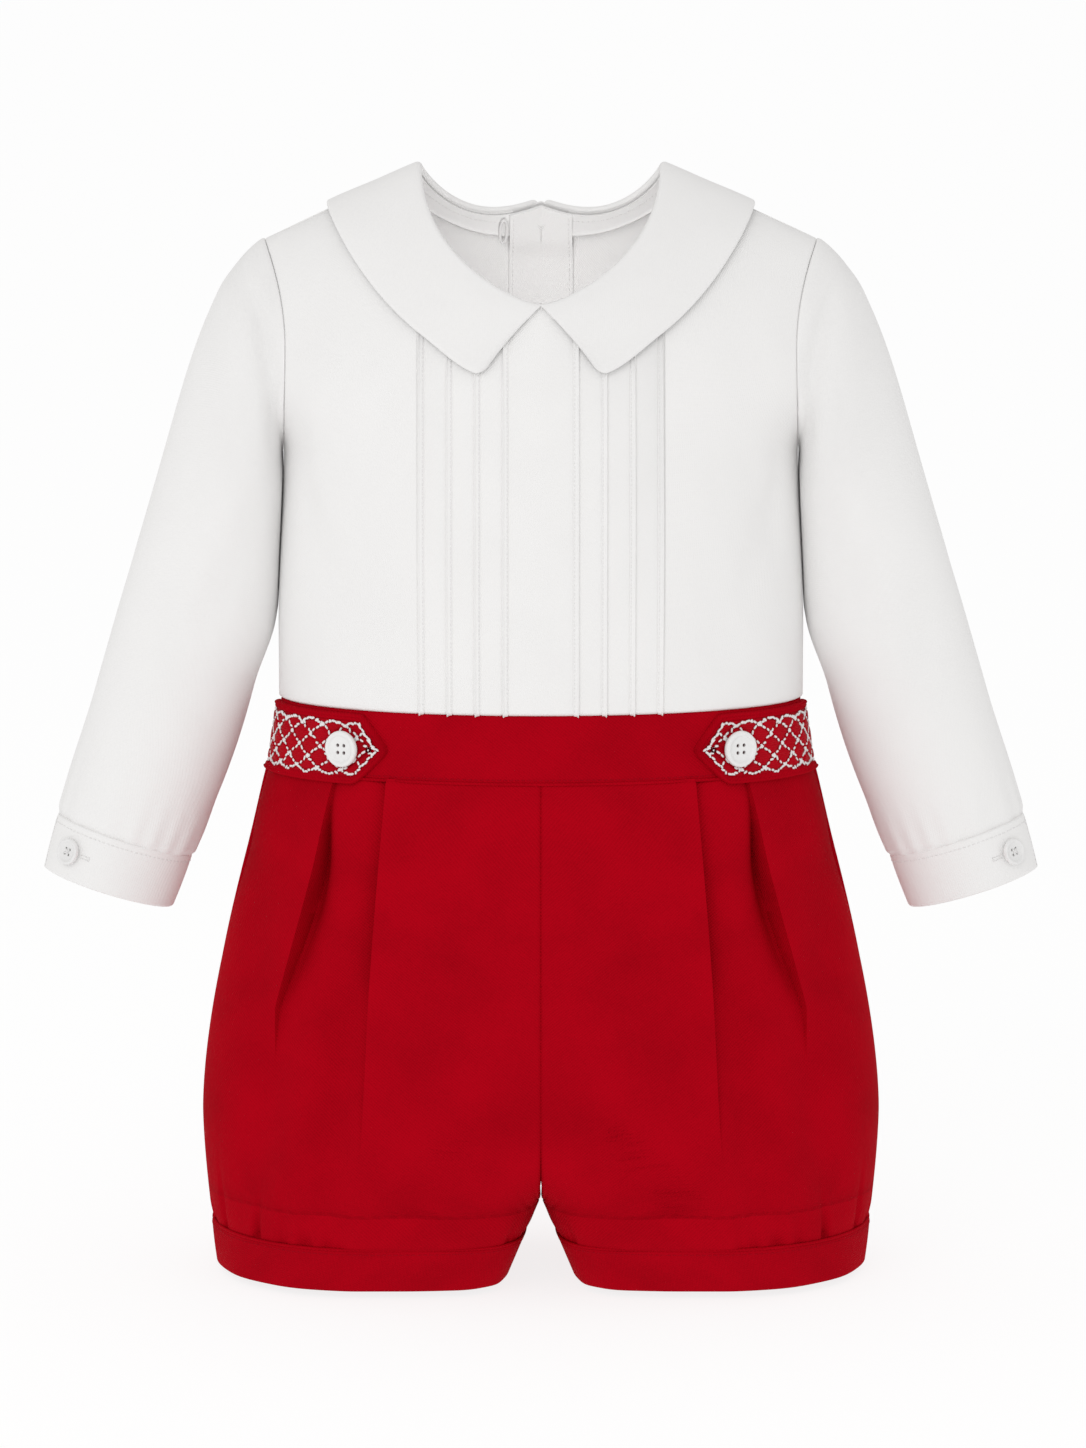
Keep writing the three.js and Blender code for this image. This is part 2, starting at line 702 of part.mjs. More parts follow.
function buildCuffs() {
  const geometry = tube(24, 2, (angle, v, layer) => {
    const middle = cuffTopMiddle.clone().addScaledVector(armDown, gap + v * cuffDepth);
    const inside = new THREE.Vector3(middle.x, 0, middle.y);
    const out = squareTo(cuffPoint, angle, v, inside);
    return cuffPoint(angle, v).addScaledVector(out, (layer - 1) * cuffCloth);
  });
  addPair('cuff', geometry, white);

  const button = buttonGeometry(cuffButtonRadius, cuffButtonHeight);
  const angle = radians(cuffButtonAngle);
  const middle = cuffTopMiddle.clone().addScaledVector(armDown, gap + cuffDepth / 2);
  const out = squareTo(cuffPoint, angle, 0.5, new THREE.Vector3(middle.x, 0, middle.y));
  const seat = gap + cuffButtonRadius ** 2 / (8 * cuffHalfDepth);
  const place = cuffPoint(angle, 0.5).addScaledVector(out, seat);
  addButton('cuff_button_left', button, place, out);
  const flipped = (v) => new THREE.Vector3(-v.x, v.y, v.z);
  addButton('cuff_button_right', button, flipped(place), flipped(out));
}

// ---------------------------------------------------------------- shorts

// Share of the way from the waistband down to the seat, curved, and from the seat to the hem
const towardsWaist = (z) => (Math.max(0, z - seatHeight) / (waistLow - seatHeight)) ** 1.6;
const towardsHem = (z) => (Math.max(0, seatHeight - z) / seatHeight) ** 1.5;

function shortsWidth(z) {
  const waist = (seatHalfWidth - waistHalfWidth - waistbandFlare) * towardsWaist(z);
  return seatHalfWidth - waist - (seatHalfWidth - hemHalfWidth) * towardsHem(z);
}

function shortsDepth(z) {
  const waist = (seatHalfDepth - waistHalfDepth - waistbandFlare) * towardsWaist(z);
  return seatHalfDepth - waist - (seatHalfDepth - hemHalfDepth) * towardsHem(z);
}

// One leg's section at a height: its inner edge, middle, half width and first angle. High up the
// two halves share one oval; below the crotch each leg is a whole oval of its own.
function legSection(z) {
  const outer = shortsWidth(z);
  const apart = Math.max(0, 1 - z / crotchHeight);
  const inner = gap / 2 + legGapHalf * apart ** 0.7;
  const own = (outer + inner) / 2;
  const middle = own * (1 - smooth(crotchHeight, forkHeight, z));
  const half = outer - middle;
  const start = z > crotchHeight ? Math.acos(Math.min(1, (middle - inner) / half)) : 0;
  return { middle, half, start };
}

// A point on the shorts' outer face. angle runs from the inner edge to the side seam.
function shortsPoint(share, z, side) {
  const { middle, half, start } = legSection(z);
  const angle = mix(start, Math.PI, share);
  return new THREE.Vector3(
    middle - half * Math.cos(angle),
    side * shortsDepth(z) * Math.sin(angle),
    z,
  );
}

// Depth of the pleats at a point of the front
function pleatDepth(x, z) {
  let total = 0;
  for (const pleat of pleats) {
    const down = (waistLow - z) / (waistLow - pleat.fadeHeight);
    if (down < 0 || down > 1) continue;
    const middle = mix(pleat.topX, pleat.lowX, down);
    const from = (Math.abs(x) - middle) / pleat.halfWidth;
    if (Math.abs(from) >= 1) continue;
    const open = smooth(0, 0.25, down) * (1 - smooth(0.55, 1, down));
    total += pleat.depth * open * (1 - from * from) ** 2;
  }
  return total;
}

function shortsPanel(side) {
  const low = legBandDepth + gap / 2;
  const high = waistLow - gap / 2;
  return panel(16, 10, (u, v, layer) => {
    const z = mix(low, high, v);
    const seam = gap / 2 / (shortsDepth(z) * Math.PI);
    const below = 1 - smooth(crotchHeight - 8, crotchHeight, z);
    const share = mix(seam * below, 1 - seam, u);
    const p = shortsPoint(share, z, side);
    const { middle } = legSection(z);
    const inside = new THREE.Vector3(Math.max(middle, 8), 0, z);
    const at = (a, b) => shortsPoint(a, b, side);
    const out = squareTo(at, Math.min(Math.max(share, 0.002), 0.998), z, inside);
    const fold = side === front ? pleatDepth(p.x, z) : 0;
    const moved = p.addScaledVector(out, (layer - 1) * shortsCloth - fold);
    moved.x = Math.max(moved.x, gap / 2);
    return moved;
  });
}

function buildShortsPanels() {
  addPair('shorts_front', shortsPanel(front), red);
  addPair('shorts_back', shortsPanel(back), red);

  // Leg bands: a ring of doubled cloth at each hem
  const band = tube(24, 2, (angle, v, layer) => {
    const z = mix(0, legBandDepth - gap / 2, v);
    const { middle, half } = legSection(z);
    const at = (a, b) => new THREE.Vector3(
      middle + half * Math.cos(a),
      -shortsDepth(b) * Math.sin(a),
      b,
    );
    const out = squareTo(at, angle, z, new THREE.Vector3(middle, 0, z));
    return at(angle, z).addScaledVector(out, (layer - 1) * shortsCloth);
  });
  addPair('leg_band', band, red);
}

// ---------------------------------------------------------------- waistband

// A point level with the waistband, a distance in from its outer face. angle 0 is the wearer's
// left side and a quarter turn is the centre front.
function waistPoint(angle, z, inset) {
  const flare = waistbandFlare * (waistTop - z) / waistbandDepth;
  return new THREE.Vector3(
    (waistHalfWidth + flare - inset) * Math.cos(angle),
    -(waistHalfDepth + flare - inset) * Math.sin(angle),
    z,
  );
}

function waistArc(fromDegrees, toDegrees, low, high, inset, thick) {
  return panel(26, 2, (u, v, layer) => {
    const angle = radians(mix(fromDegrees, toDegrees, u));
    return waistPoint(angle, mix(low, high, v), inset + (1 - layer) * thick);
  });
}

function buildWaistband() {
  const seam = THREE.MathUtils.radToDeg(gap / 2 / waistHalfDepth);
  const low = waistLow + gap / 2;
  addMesh('waistband_front', waistArc(seam, 180 - seam, low, waistTop, 0, shortsCloth), red);
  addMesh('waistband_back', waistArc(180 + seam, 360 - seam, low, waistTop, 0, shortsCloth), red);
  const middle = (low + waistTop) / 2;
  const elastic = waistArc(
    188, 352, middle - elasticHeight / 2, middle + elasticHeight / 2, elasticInset, liningCloth,
  );
  addMesh('waist_elastic', elastic, webbing);
  const facing = tube(36, 2, (angle, v, layer) => (
    waistPoint(angle, mix(low, waistTop, v), waistFacingInset + (1 - layer) * liningCloth)
  ));
  addMesh('waistband_facing', facing, red);
}

// ---------------------------------------------------------------- side tabs

const tabMiddle = waistTop - waistbandDepth / 2;
const tabWidthHere = waistHalfWidth + waistbandFlare / 2;
const tabTipAngle = Math.acos(tabReach / tabWidthHere);
const tabPointAngle = Math.acos((tabReach + tabPointLength) / tabWidthHere);
const tabHalfHeight = waistbandDepth / 2 - gap / 2;

// A layer of the tab: its outline shrunk by rim, between two heights over the waistband
function tabLayer(rim, inner, outer) {
  const sewn = radians(tabEndAngle) + rim / tabWidthHere;
  const tip = tabTipAngle - rim / tabWidthHere;
  const shoulder = (tabPointAngle - sewn) / (tip - sewn);
  const list = [];
  for (let k = 0; k <= 10; k += 1) list.push(mix(0, shoulder, k / 10));
  list.push(mix(shoulder, 1, 0.5), 1);
  return panel(list, 4, (u, v, layer) => {
    const angle = mix(sewn, tip, u);
    const towardsTip = Math.max(0, (u - shoulder) / (1 - shoulder));
    const half = (tabHalfHeight - rim) * mix(1, tabTipShare, towardsTip ** 1.15);
    const z = tabMiddle + mix(-half, half, v);
    return waistPoint(angle, z, -mix(inner, outer, layer));
  });
}

function buildTabs() {
  const top = gap + tabCloth;
  addPair('side_tab', tabLayer(0, gap, top), red);
  addPair('tab_embroidery', tabLayer(tabRim, top + gap, top + gap + embroideryHeight), thread);

  const button = buttonGeometry(tabButtonRadius, tabButtonHeight);
  const angle = Math.acos(tabButtonPlace / tabWidthHere);
  const at = (a, b) => waistPoint(a, b, 0);
  const out = squareTo(at, angle, tabMiddle, new THREE.Vector3(0, 0, tabMiddle));
  const sag = tabButtonRadius ** 2 / (2 * waistHalfDepth);
  const seat = top + gap + embroideryHeight + gap + sag;
  const place = waistPoint(angle, tabMiddle, 0).addScaledVector(out, seat);
  addButton('tab_button_left', button, place, out);
  const flipped = (v) => new THREE.Vector3(-v.x, v.y, v.z);
  addButton('tab_button_right', button, flipped(place), flipped(out));
}

// ---------------------------------------------------------------- the whole outfit

buildShirtBody();
buildPlacket();
buildBackButtons();
buildCollar();
buildNeckFacing();
buildHangerLoop();
buildSleeves();
buildCuffs();
buildWaistband();
buildShortsPanels();
buildTabs();

export default group;
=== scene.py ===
import bpy
import numpy as np
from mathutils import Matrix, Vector


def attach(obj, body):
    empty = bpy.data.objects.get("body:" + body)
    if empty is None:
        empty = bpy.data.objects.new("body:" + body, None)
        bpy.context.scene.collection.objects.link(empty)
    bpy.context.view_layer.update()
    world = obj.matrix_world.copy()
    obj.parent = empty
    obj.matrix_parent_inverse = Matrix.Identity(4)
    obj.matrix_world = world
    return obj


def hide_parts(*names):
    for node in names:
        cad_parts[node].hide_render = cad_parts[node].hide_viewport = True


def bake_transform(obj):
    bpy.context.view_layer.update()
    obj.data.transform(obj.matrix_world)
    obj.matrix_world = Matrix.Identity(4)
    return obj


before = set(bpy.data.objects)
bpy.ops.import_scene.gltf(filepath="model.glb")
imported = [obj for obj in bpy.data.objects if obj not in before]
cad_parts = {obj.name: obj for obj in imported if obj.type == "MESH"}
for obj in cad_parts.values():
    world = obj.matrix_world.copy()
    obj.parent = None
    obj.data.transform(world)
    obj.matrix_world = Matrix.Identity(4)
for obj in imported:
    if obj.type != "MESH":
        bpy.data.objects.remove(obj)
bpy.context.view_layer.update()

# Studio: a pale floor under a white sky, one soft lamp from the upper left, and a long lens that
# looks slightly down on the outfit.
scene = bpy.context.scene
scene.view_settings.view_transform = "Standard"

camera_data = bpy.data.cameras.new("camera")
camera_data.lens = 135
camera_data.sensor_fit = "VERTICAL"
camera_data.sensor_height = 36
camera = bpy.data.objects.new("camera", camera_data)
scene.collection.objects.link(camera)
look_at = Vector((0.0009, 0, 0.237))
pitch = np.radians(8)
towards_camera = Vector((0, -np.cos(pitch), np.sin(pitch)))
camera.location = look_at + 2.354 * towards_camera
camera.rotation_euler = towards_camera.to_track_quat("Z", "Y").to_euler()
scene.camera = camera

sky = bpy.data.worlds.new("sky")
scene.world = sky
sky.use_nodes = True
sky.node_tree.nodes["Background"].inputs["Color"].default_value = (1, 0.995, 0.99, 1)
sky.node_tree.nodes["Background"].inputs["Strength"].default_value = 0.76


def lamp(name, place, size, power):
    """A square soft lamp at a place in metres, aimed at the middle of the outfit."""
    data = bpy.data.lights.new(name, "AREA")
    data.size = size
    data.energy = power
    light = bpy.data.objects.new(name, data)
    light.location = place
    aim = Vector(place) - Vector((0, 0, 0.25))
    light.rotation_euler = aim.to_track_quat("Z", "Y").to_euler()
    scene.collection.objects.link(light)
    return light


lamp("key_lamp", (-0.7, -2.4, 1.5), 1.8, 14)
# A small one hidden inside the chest lights the inside of the neck
neck_lamp = lamp("neck_lamp", (0, -0.04, 0.385), 0.04, 0.038)
neck_lamp.rotation_euler = Vector((0, -0.085, -0.06)).to_track_quat("Z", "Y").to_euler()
neck_lamp.visible_camera = False

floor_mesh = bpy.data.meshes.new("floor")
floor_mesh.from_pydata([(-99, -99, 0), (99, -99, 0), (99, 99, 0), (-99, 99, 0)], [], [(0, 1, 2, 3)])
floor = bpy.data.objects.new("floor", floor_mesh)
floor.location = (0, 0, -0.003)
scene.collection.objects.link(floor)
paper = bpy.data.materials.new("floor_paper")
paper.use_nodes = True
for socket, value in {"Base Color": (0.2, 0.2, 0.2, 1), "Emission Color": (1, 1, 1, 1),
                      "Emission Strength": 0.83, "Roughness": 1, "Specular IOR Level": 0}.items():
    paper.node_tree.nodes["Principled BSDF"].inputs[socket].default_value = value
floor_mesh.materials.append(paper)

# Front of the shirt: one panel of fine white cotton, seamed at the sides, shoulders and armholes,
# with four stitched pintucks each side of the centre, its tail tucked into the shorts.
# Lengths are in mm; x is the wearer's left, y the back, z up from the hems.
front = -1
back = 1
waist_top = 250
neck_point = 477
shoulder_tip = 447
underarm = 357
shoulder_spring = 300
neck_half_width = 52.4
neck_across = {-1: 1.43, 1: 0.85}   # powers that bend the neckline's oval, in front and behind
neck_deep = {-1: 0.56, 1: 0.85}
shirt_half_width = 113.6
neck_front_z = 421
neck_back_z = 460.8
shirt_thickness = 0.9


def ease(low, high, value):
    """Rises from 0 at low to 1 at high, level at both ends: 3 t squared less 2 t cubed."""
    t = np.clip((value - low) / (high - low), 0, 1)
    return t * t * (3 - 2 * t)


def mix(a, b, share):
    """The value that share of the way from a to b."""
    return a + (b - a) * share


def quarter_round(near):
    """Share lost along a rounded edge: 1 less the root of 1 less the squared nearness to it."""
    return 1 - np.sqrt(1 - near ** 2)


def unit(vectors):
    """The same directions, each 1 long."""
    return vectors / np.linalg.norm(vectors, axis=-1, keepdims=True)


def shoulder_line(x):
    """Height of the shoulder, a straight slope down from the neck point."""
    return neck_point + 30 / 65.6 * (neck_half_width - np.abs(x))


blouse_lap = 1.2      # how far below the waistband's top the swell starts
blouse_height = 2.2


def blouse(z):
    """Share of the swell over the waistband's top edge, which it laps by about 0.3 mm: a quarter
    round."""
    t = np.clip((z - waist_top + blouse_lap) / blouse_height, 0, 1)
    return np.sqrt(1 - (1 - t) ** 2)


def shirt_width(z):
    """Half width of the shirt's oval section: narrow in the waistband, fuller above it, a little
    narrower up to the underarm, then wide, so that the chest runs on into the arms."""
    tucked = mix(104.7, shirt_half_width, blouse(z))
    return tucked - 2.8 * ease(280, underarm, z) + 24.2 * ease(underarm, underarm + 43, z)


def shirt_depth(z, side):
    """Half depth of the oval section, which swells out just above the waistband."""
    return mix(58.7, 68 if side == front else 60, blouse(z))


def shoulder_roll(x, z):
    """Squared share of the depth left as the chest rolls over: 1 less the squared rise."""
    rise = (z - shoulder_spring) / (shoulder_line(x) - shoulder_spring)
    return np.where(z <= shoulder_spring, 1, 1 - rise ** 2)


def shirt_y(x, z, side):
    """The shirt's face over x and z: the depth times the root of what the oval and roll leave."""
    left = (1 - (x / shirt_width(z)) ** 2) * shoulder_roll(x, z)
    return side * shirt_depth(z, side) * np.sqrt(np.maximum(left, 0))


def shirt_z(x, y, side):
    """Height of the shirt's face over x and y near the shoulders, by repeated substitution."""
    z = np.full(np.broadcast(x, y).shape, float(shoulder_tip))
    for turn in range(30):
        full = shirt_depth(z, side) * np.sqrt(1 - (x / shirt_width(z)) ** 2)
        rise = np.sqrt(np.maximum(0, 1 - (y / full) ** 2))
        z = shoulder_spring + (shoulder_line(x) - shoulder_spring) * rise
    return z


def shirt_out(x, y, z, side):
    """Unit direction off the shirt: the downhill slope of the oval section's equation."""
    def inside(x, y, z):
        return (1 - (x / shirt_width(z)) ** 2) * shoulder_roll(x, z) - (y / shirt_depth(z, side)) ** 2
    h = 0.05
    slope = [inside(x - h, y, z) - inside(x + h, y, z), inside(x, y - h, z) - inside(x, y + h, z),
             inside(x, y, z - h) - inside(x, y, z + h)]
    slope = np.stack(slope, -1)
    return unit(slope)


def armhole_x(z):
    """Distance of the armhole's edge from the centre line: two parabolas that meet at mid height."""
    rise = (z - 402) / 45
    return 108.4 + np.where(rise > 0, 9.6, 2.4) * rise ** 2


def panel_edge(z):
    """Edge of the body panels: the side seam up to the underarm, then the armhole."""
    return np.where(z > underarm, armhole_x(z), shirt_width(z))


def neckline_y(x, side):
    """Reach of the neckline in front of or behind the shoulder line, over x: an oval that is
    rounded behind and drawn out to a soft point in front."""
    reach = np.abs(shirt_y(0, neck_front_z if side == front else neck_back_z, side))
    across = np.minimum(1, np.abs(x) / neck_half_width)
    return reach * (1 - across ** (2 / neck_across[side])) ** (neck_deep[side] / 2)


def panel_grid(columns, side):
    """Points of a body panel. Columns stand at signed places across the panel, upright near the
    middle and leaning towards the edge to follow it. Rows are level round the tuck, then share the
    turn up to the neckline or shoulder line, whichever the column meets."""
    tuck = waist_top + np.array([-22, -12, -5, -2.3, -1.4, -1.2, -1.17, -1.11, -1.02, -0.88, -0.7,
                                 -0.4, 0, 0.5, 1.1, 3, 7, 12.5, 18])
    share = np.concatenate([np.zeros(len(tuck)), np.linspace(0, 1, 100)[1:]])[:, None]
    above = np.arange(len(share))[:, None] >= len(tuck)
    level = np.concatenate([tuck, np.full(99, 400.0)])[:, None] + 0 * columns
    pull = ease(0.5, 1, np.abs(columns) / shirt_half_width)

    def across(z):
        lean = (panel_edge(z) - shirt_half_width) * pull
        return np.sign(columns) * (np.abs(columns) + lean)

    z = level
    for turn in range(40):
        x = across(z)
        span = shoulder_line(x) - shoulder_spring
        oval = np.sqrt(np.maximum(0.001, 1 - (x / shirt_width(z)) ** 2))
        top = np.arccos(np.minimum(1, np.maximum(neckline_y(x, side), 0.03)
                                   / (shirt_depth(z, side) * oval)))
        low = (tuck[-1] - shoulder_spring) / span
        angle = mix(low, top, share)
        turned = shoulder_spring + span * np.where(angle > 0, np.sin(angle), angle)
        z = np.where(above, turned, level)
    x = across(z)
    y = shirt_y(x, z, side)
    y = np.where(np.abs(y) < 0.03, side * 0.03, y)
    return x, y, z


def fold(across, along, path_across, path_along, width, depth):
    """A soft valley: a bell curve across a path, fading out towards both of its ends. across and
    along are the surface's own places, and the path gives across for each along."""
    middle = np.interp(along, path_along, path_across)
    low = path_along[0]
    high = path_along[-1]
    reach = (high - low) * 0.3
    fade = ease(low, low + reach, along) * (1 - ease(high - reach, high, along))
    return -depth * fade * np.exp(-((across - middle) / width) ** 2)


def shirt_ripple(x, z, side):
    """Soft unevenness of the worn cloth: slow waves, shallow gathers just above the waistband and
    a faint drag from each underarm."""
    worn = ease(waist_top, waist_top + 12, z)
    far = np.abs(x)
    slow = 0.5 * np.sin(x / 21 + 1.3 * side + z / 95) * np.sin(z / 31 + x / 70)
    gathers = 0.55 * np.sin(x / 5.3 + 1.4 * np.sin(x / 17)) * np.exp(-((z - 256) / 13) ** 2)
    calm = 1 - 0.8 * ease(62, 48, far) if side == front else 1
    drag = fold(far, z, [84, 96, 104], [286, 330, 352], 7, 1.1)
    drag = drag + fold(far, z, [98, 101, 105], [300, 345, 390], 5, 0.8)
    return worn * (slow + gathers * calm + drag)


def normals(points, wrap=False):
    """Unit normals of a grid: the cross product of its differences along rows and columns."""
    rise = np.gradient(points, axis=0)
    run = np.gradient(points, axis=1)
    if wrap:
        run = (np.roll(points, -1, axis=1) - np.roll(points, 1, axis=1)) / 2
    square = np.cross(run, rise)
    return square / np.maximum(np.linalg.norm(square, axis=2, keepdims=True), 1e-9)


def cloth_places(points, wrap=False):
    """Each point's own place on the cloth in metres: lengths along its row and up its column."""
    grid = np.concatenate([points, points[:, :1]], axis=1) if wrap else points
    step = np.linalg.norm(np.diff(grid, axis=1), axis=2)
    run = np.concatenate([np.zeros((len(grid), 1)), np.cumsum(step, axis=1)], axis=1)
    run = run - run[:, -1:] / 2
    middle = grid[:, grid.shape[1] // 2]
    rise = np.concatenate([[0], np.cumsum(np.linalg.norm(np.diff(middle, axis=0), axis=1))])
    return np.stack([run, rise[:, None] + 0 * run], -1) / 1000


def closed_shell(name, outer, inner, finish, wrap=False):
    """A closed layer of cloth between two grids of points in mm. Each cell makes a face on both,
    and strips of faces join their edges. wrap joins the last column to the first. Where the signed
    volume comes out negative, all faces are turned round. The map "cloth" holds cloth_places."""
    rows, columns = outer.shape[:2]
    count = rows * columns
    number = np.arange(count).reshape(rows, columns)
    place = np.arange(rows * (columns + wrap)).reshape(rows, columns + wrap)
    if wrap:
        number = np.hstack([number, number[:, :1]])

    def cells(grid, other):
        return np.concatenate([
            np.stack([grid[:-1, :-1], grid[:-1, 1:], grid[1:, 1:], grid[1:, :-1]], -1).reshape(-1, 4),
            np.stack([other[:-1, :-1], other[1:, :-1], other[1:, 1:], other[:-1, 1:]], -1).reshape(-1, 4),
            np.stack([grid[0, 1:], grid[0, :-1], other[0, :-1], other[0, 1:]], -1),
            np.stack([grid[-1, :-1], grid[-1, 1:], other[-1, 1:], other[-1, :-1]], -1),
        ] + ([] if wrap else [
            np.stack([grid[:-1, 0], grid[1:, 0], other[1:, 0], other[:-1, 0]], -1),
            np.stack([grid[1:, -1], grid[:-1, -1], other[:-1, -1], other[1:, -1]], -1),
        ]))

    points = np.concatenate([outer.reshape(-1, 3), inner.reshape(-1, 3)]) / 1000
    faces = cells(number, number + count)
    corners = cells(place, place)
    a, b, c, d = (points[faces[:, k]] for k in range(4))
    if np.sum(a * np.cross(b, c)) + np.sum(a * np.cross(c, d)) < 0:
        faces = faces[:, ::-1]
        corners = corners[:, ::-1]
    mesh = bpy.data.meshes.new(name)
    mesh.from_pydata(points.tolist(), [], faces.tolist())
    places = cloth_places(outer, wrap).reshape(-1, 2)[corners.reshape(-1)]
    mesh.uv_layers.new(name="cloth").data.foreach_set("uv", places.astype(np.float32).ravel())
    mesh.polygons.foreach_set("use_smooth", np.ones(len(faces), dtype=bool))
    mesh.set_sharp_from_angle(angle=1.1)
    mesh.materials.append(finish)
    piece = bpy.data.objects.new(name, mesh)
    scene.collection.objects.link(piece)
    return piece


def new_finish(name, values):
    """A new finish, its nodes and links, with constant values on its shader's own sockets."""
    finish = bpy.data.materials.new(name)
    finish.use_nodes = True
    nodes = finish.node_tree.nodes
    for socket, value in values.items():
        nodes["Principled BSDF"].inputs[socket].default_value = value
    return finish, nodes, finish.node_tree.links, nodes["Principled BSDF"]


def add_node(nodes, kind, values, **settings):
    """A new shader node with its settings and the values of its inputs."""
    node = nodes.new("ShaderNode" + kind)
    for setting, value in settings.items():
        setattr(node, setting, value)
    for socket, value in values.items():
        node.inputs[socket].default_value = value
    return node


def two_tone(nodes, links, amount, one, other):
    """Mixes two colours by an amount, for a shader's base colour."""
    tone = add_node(nodes, "Mix", {}, data_type="RGBA")
    tone.inputs["A"].default_value = (*one, 1)
    tone.inputs["B"].default_value = (*other, 1)
    links.new(amount, tone.inputs["Factor"])
    return tone


def add_bump(nodes, links, height, shader, strength, depth):
    """Relief of a given depth in metres on a shader."""
    bump = add_node(nodes, "Bump", {"Strength": strength, "Distance": depth})
    links.new(height, bump.inputs["Height"])
    links.new(bump.outputs["Normal"], shader.inputs["Normal"])


def woven(name, colour, drift_and_shade_colour, yarn, lean, relief, gloss, fuzz, rough=0.86):
    """Finish of a woven cloth. Two crossed sets of fine waves are its yarns, yarn metres apart and
    turned by lean degrees, and a fine noise gives grain. A soft noise drifts the colour at random
    towards the darker second colour, and the colour also darkens towards it in the low parts of the
    yarn relief: painted shade in the weave's hollows. relief is the depth of the yarns in metres,
    gloss its specular level, fuzz its sheen."""
    finish, nodes, links, shader = new_finish(name, {
        "Roughness": rough, "Specular IOR Level": gloss, "Sheen Weight": fuzz, "Sheen Roughness": 0.5,
        "Sheen Tint": (*[min(1, 1.6 * c + 0.02) for c in colour], 1)})
    own_map = add_node(nodes, "UVMap", {}, uv_map="cloth")
    turn = add_node(nodes, "Mapping", {"Rotation": (0, 0, np.radians(lean))})
    links.new(own_map.outputs["UV"], turn.inputs["Vector"])
    grain = add_node(nodes, "TexNoise", {"Scale": 0.7 / yarn, "Detail": 2})
    links.new(turn.outputs["Vector"], grain.inputs["Vector"])
    relief_so_far = grain.outputs["Fac"]
    for direction, share in (("X", 0.6), ("Y", 0.25)):
        wave = add_node(nodes, "TexWave", {"Scale": 0.314 / yarn, "Distortion": 0.6},
                        bands_direction=direction)
        links.new(turn.outputs["Vector"], wave.inputs["Vector"])
        added = add_node(nodes, "Math", {1: share}, operation="MULTIPLY_ADD")
        links.new(wave.outputs["Fac"], added.inputs[0])
        links.new(relief_so_far, added.inputs[2])
        relief_so_far = added.outputs["Value"]
    add_bump(nodes, links, relief_so_far, shader, 0.5, relief)
    drift = add_node(nodes, "TexNoise", {"Scale": 28, "Detail": 3})
    links.new(own_map.outputs["UV"], drift.inputs["Vector"])
    # Painted shade: the colour darkens towards the second colour where the yarn relief is low, on top of the
    # soft noise's random drift.
    amount = add_node(nodes, "Math", {1: -0.35}, operation="MULTIPLY_ADD")
    links.new(relief_so_far, amount.inputs[0])
    links.new(drift.outputs["Fac"], amount.inputs[2])
    dye_and_painted_shade = two_tone(nodes, links, amount.outputs["Value"], colour, drift_and_shade_colour)
    links.new(dye_and_painted_shade.outputs["Result"], shader.inputs["Base Color"])
    return finish


# Small stitches are low domes of thread, many to a mesh.
def stitches(name, middle, along, out, length, width, height, finish):
    """Many stitches in one mesh, arrays in mm. Each is a spindle: six-sided rings whose radius is
    that of a rounded bar, flattened to width by height, its underside on the cloth."""
    count = len(middle)
    ring = np.array([(-1, 0.3), (-0.72, 0.86), (0, 1), (0.72, 0.86), (1, 0.3)])
    turn = np.arange(6) * np.pi / 3
    shape = np.stack([
        np.repeat(ring[:, :1], 6, 1),
        ring[:, 1:] * np.cos(turn),
        0.5 * ring[:, 1:] * np.sin(turn) + 0.35,
    ], -1).reshape(-1, 3)
    along = unit(along)
    across = np.cross(out, along)
    across = unit(across)
    size = np.broadcast_to(np.asarray(length, dtype=float), (count,))[:, None, None] / 2
    points = (middle[:, None] + shape[None, :, :1] * size * along[:, None]
              + shape[None, :, 1:2] * width / 2 * across[:, None]
              + shape[None, :, 2:] * height * out[:, None])
    k = np.arange(6)
    side = np.concatenate([np.stack([r * 6 + k, r * 6 + (k + 1) % 6, r * 6 + 6 + (k + 1) % 6,
                                     r * 6 + 6 + k], -1) for r in range(4)])
    ends = np.array([[0, 5, 4, 3], [0, 3, 2, 1], [24, 25, 26, 27], [24, 27, 28, 29]])
    shape_faces = np.concatenate([side, ends])[:, ::-1]
    faces = (np.arange(count)[:, None, None] * 30 + shape_faces[None]).reshape(-1, 4)
    mesh = bpy.data.meshes.new(name)
    mesh.from_pydata((points.reshape(-1, 3) / 1000).tolist(), [], faces.tolist())
    mesh.polygons.foreach_set("use_smooth", np.ones(len(faces), dtype=bool))
    mesh.materials.append(finish)
    piece = bpy.data.objects.new(name, mesh)
    scene.collection.objects.link(piece)
    return piece


def spaced(path, out, pitch):
    """Middles, directions and outward directions of stitches a pitch apart along a path in mm."""
    length = np.concatenate([[0], np.cumsum(np.linalg.norm(np.diff(path, axis=0), axis=1))])
    at = np.arange(pitch / 2, length[-1], pitch)
    pick = lambda values: np.stack([np.interp(at, length, values[:, k]) for k in range(3)], -1)
    facing = pick(out)
    return pick(path), pick(np.gradient(path, length, axis=0)), unit(facing)


def thread(name, colour, rough, gloss, fuzz):
    """Finish of sewing thread or floss: fine slanting ply lines on Object coordinates."""
    finish, nodes, links, shader = new_finish(name, {
        "Roughness": rough, "Specular IOR Level": gloss, "Sheen Weight": fuzz})
    where = add_node(nodes, "TexCoord", {})
    ply = add_node(nodes, "TexWave", {"Scale": 900, "Distortion": 1.5}, bands_direction="DIAGONAL")
    links.new(where.outputs["Object"], ply.inputs["Vector"])
    tone = two_tone(nodes, links, ply.outputs["Fac"], colour, [0.8 * c for c in colour])
    links.new(tone.outputs["Result"], shader.inputs["Base Color"])
    add_bump(nodes, links, ply.outputs["Fac"], shader, 0.4, 0.0001)
    return finish


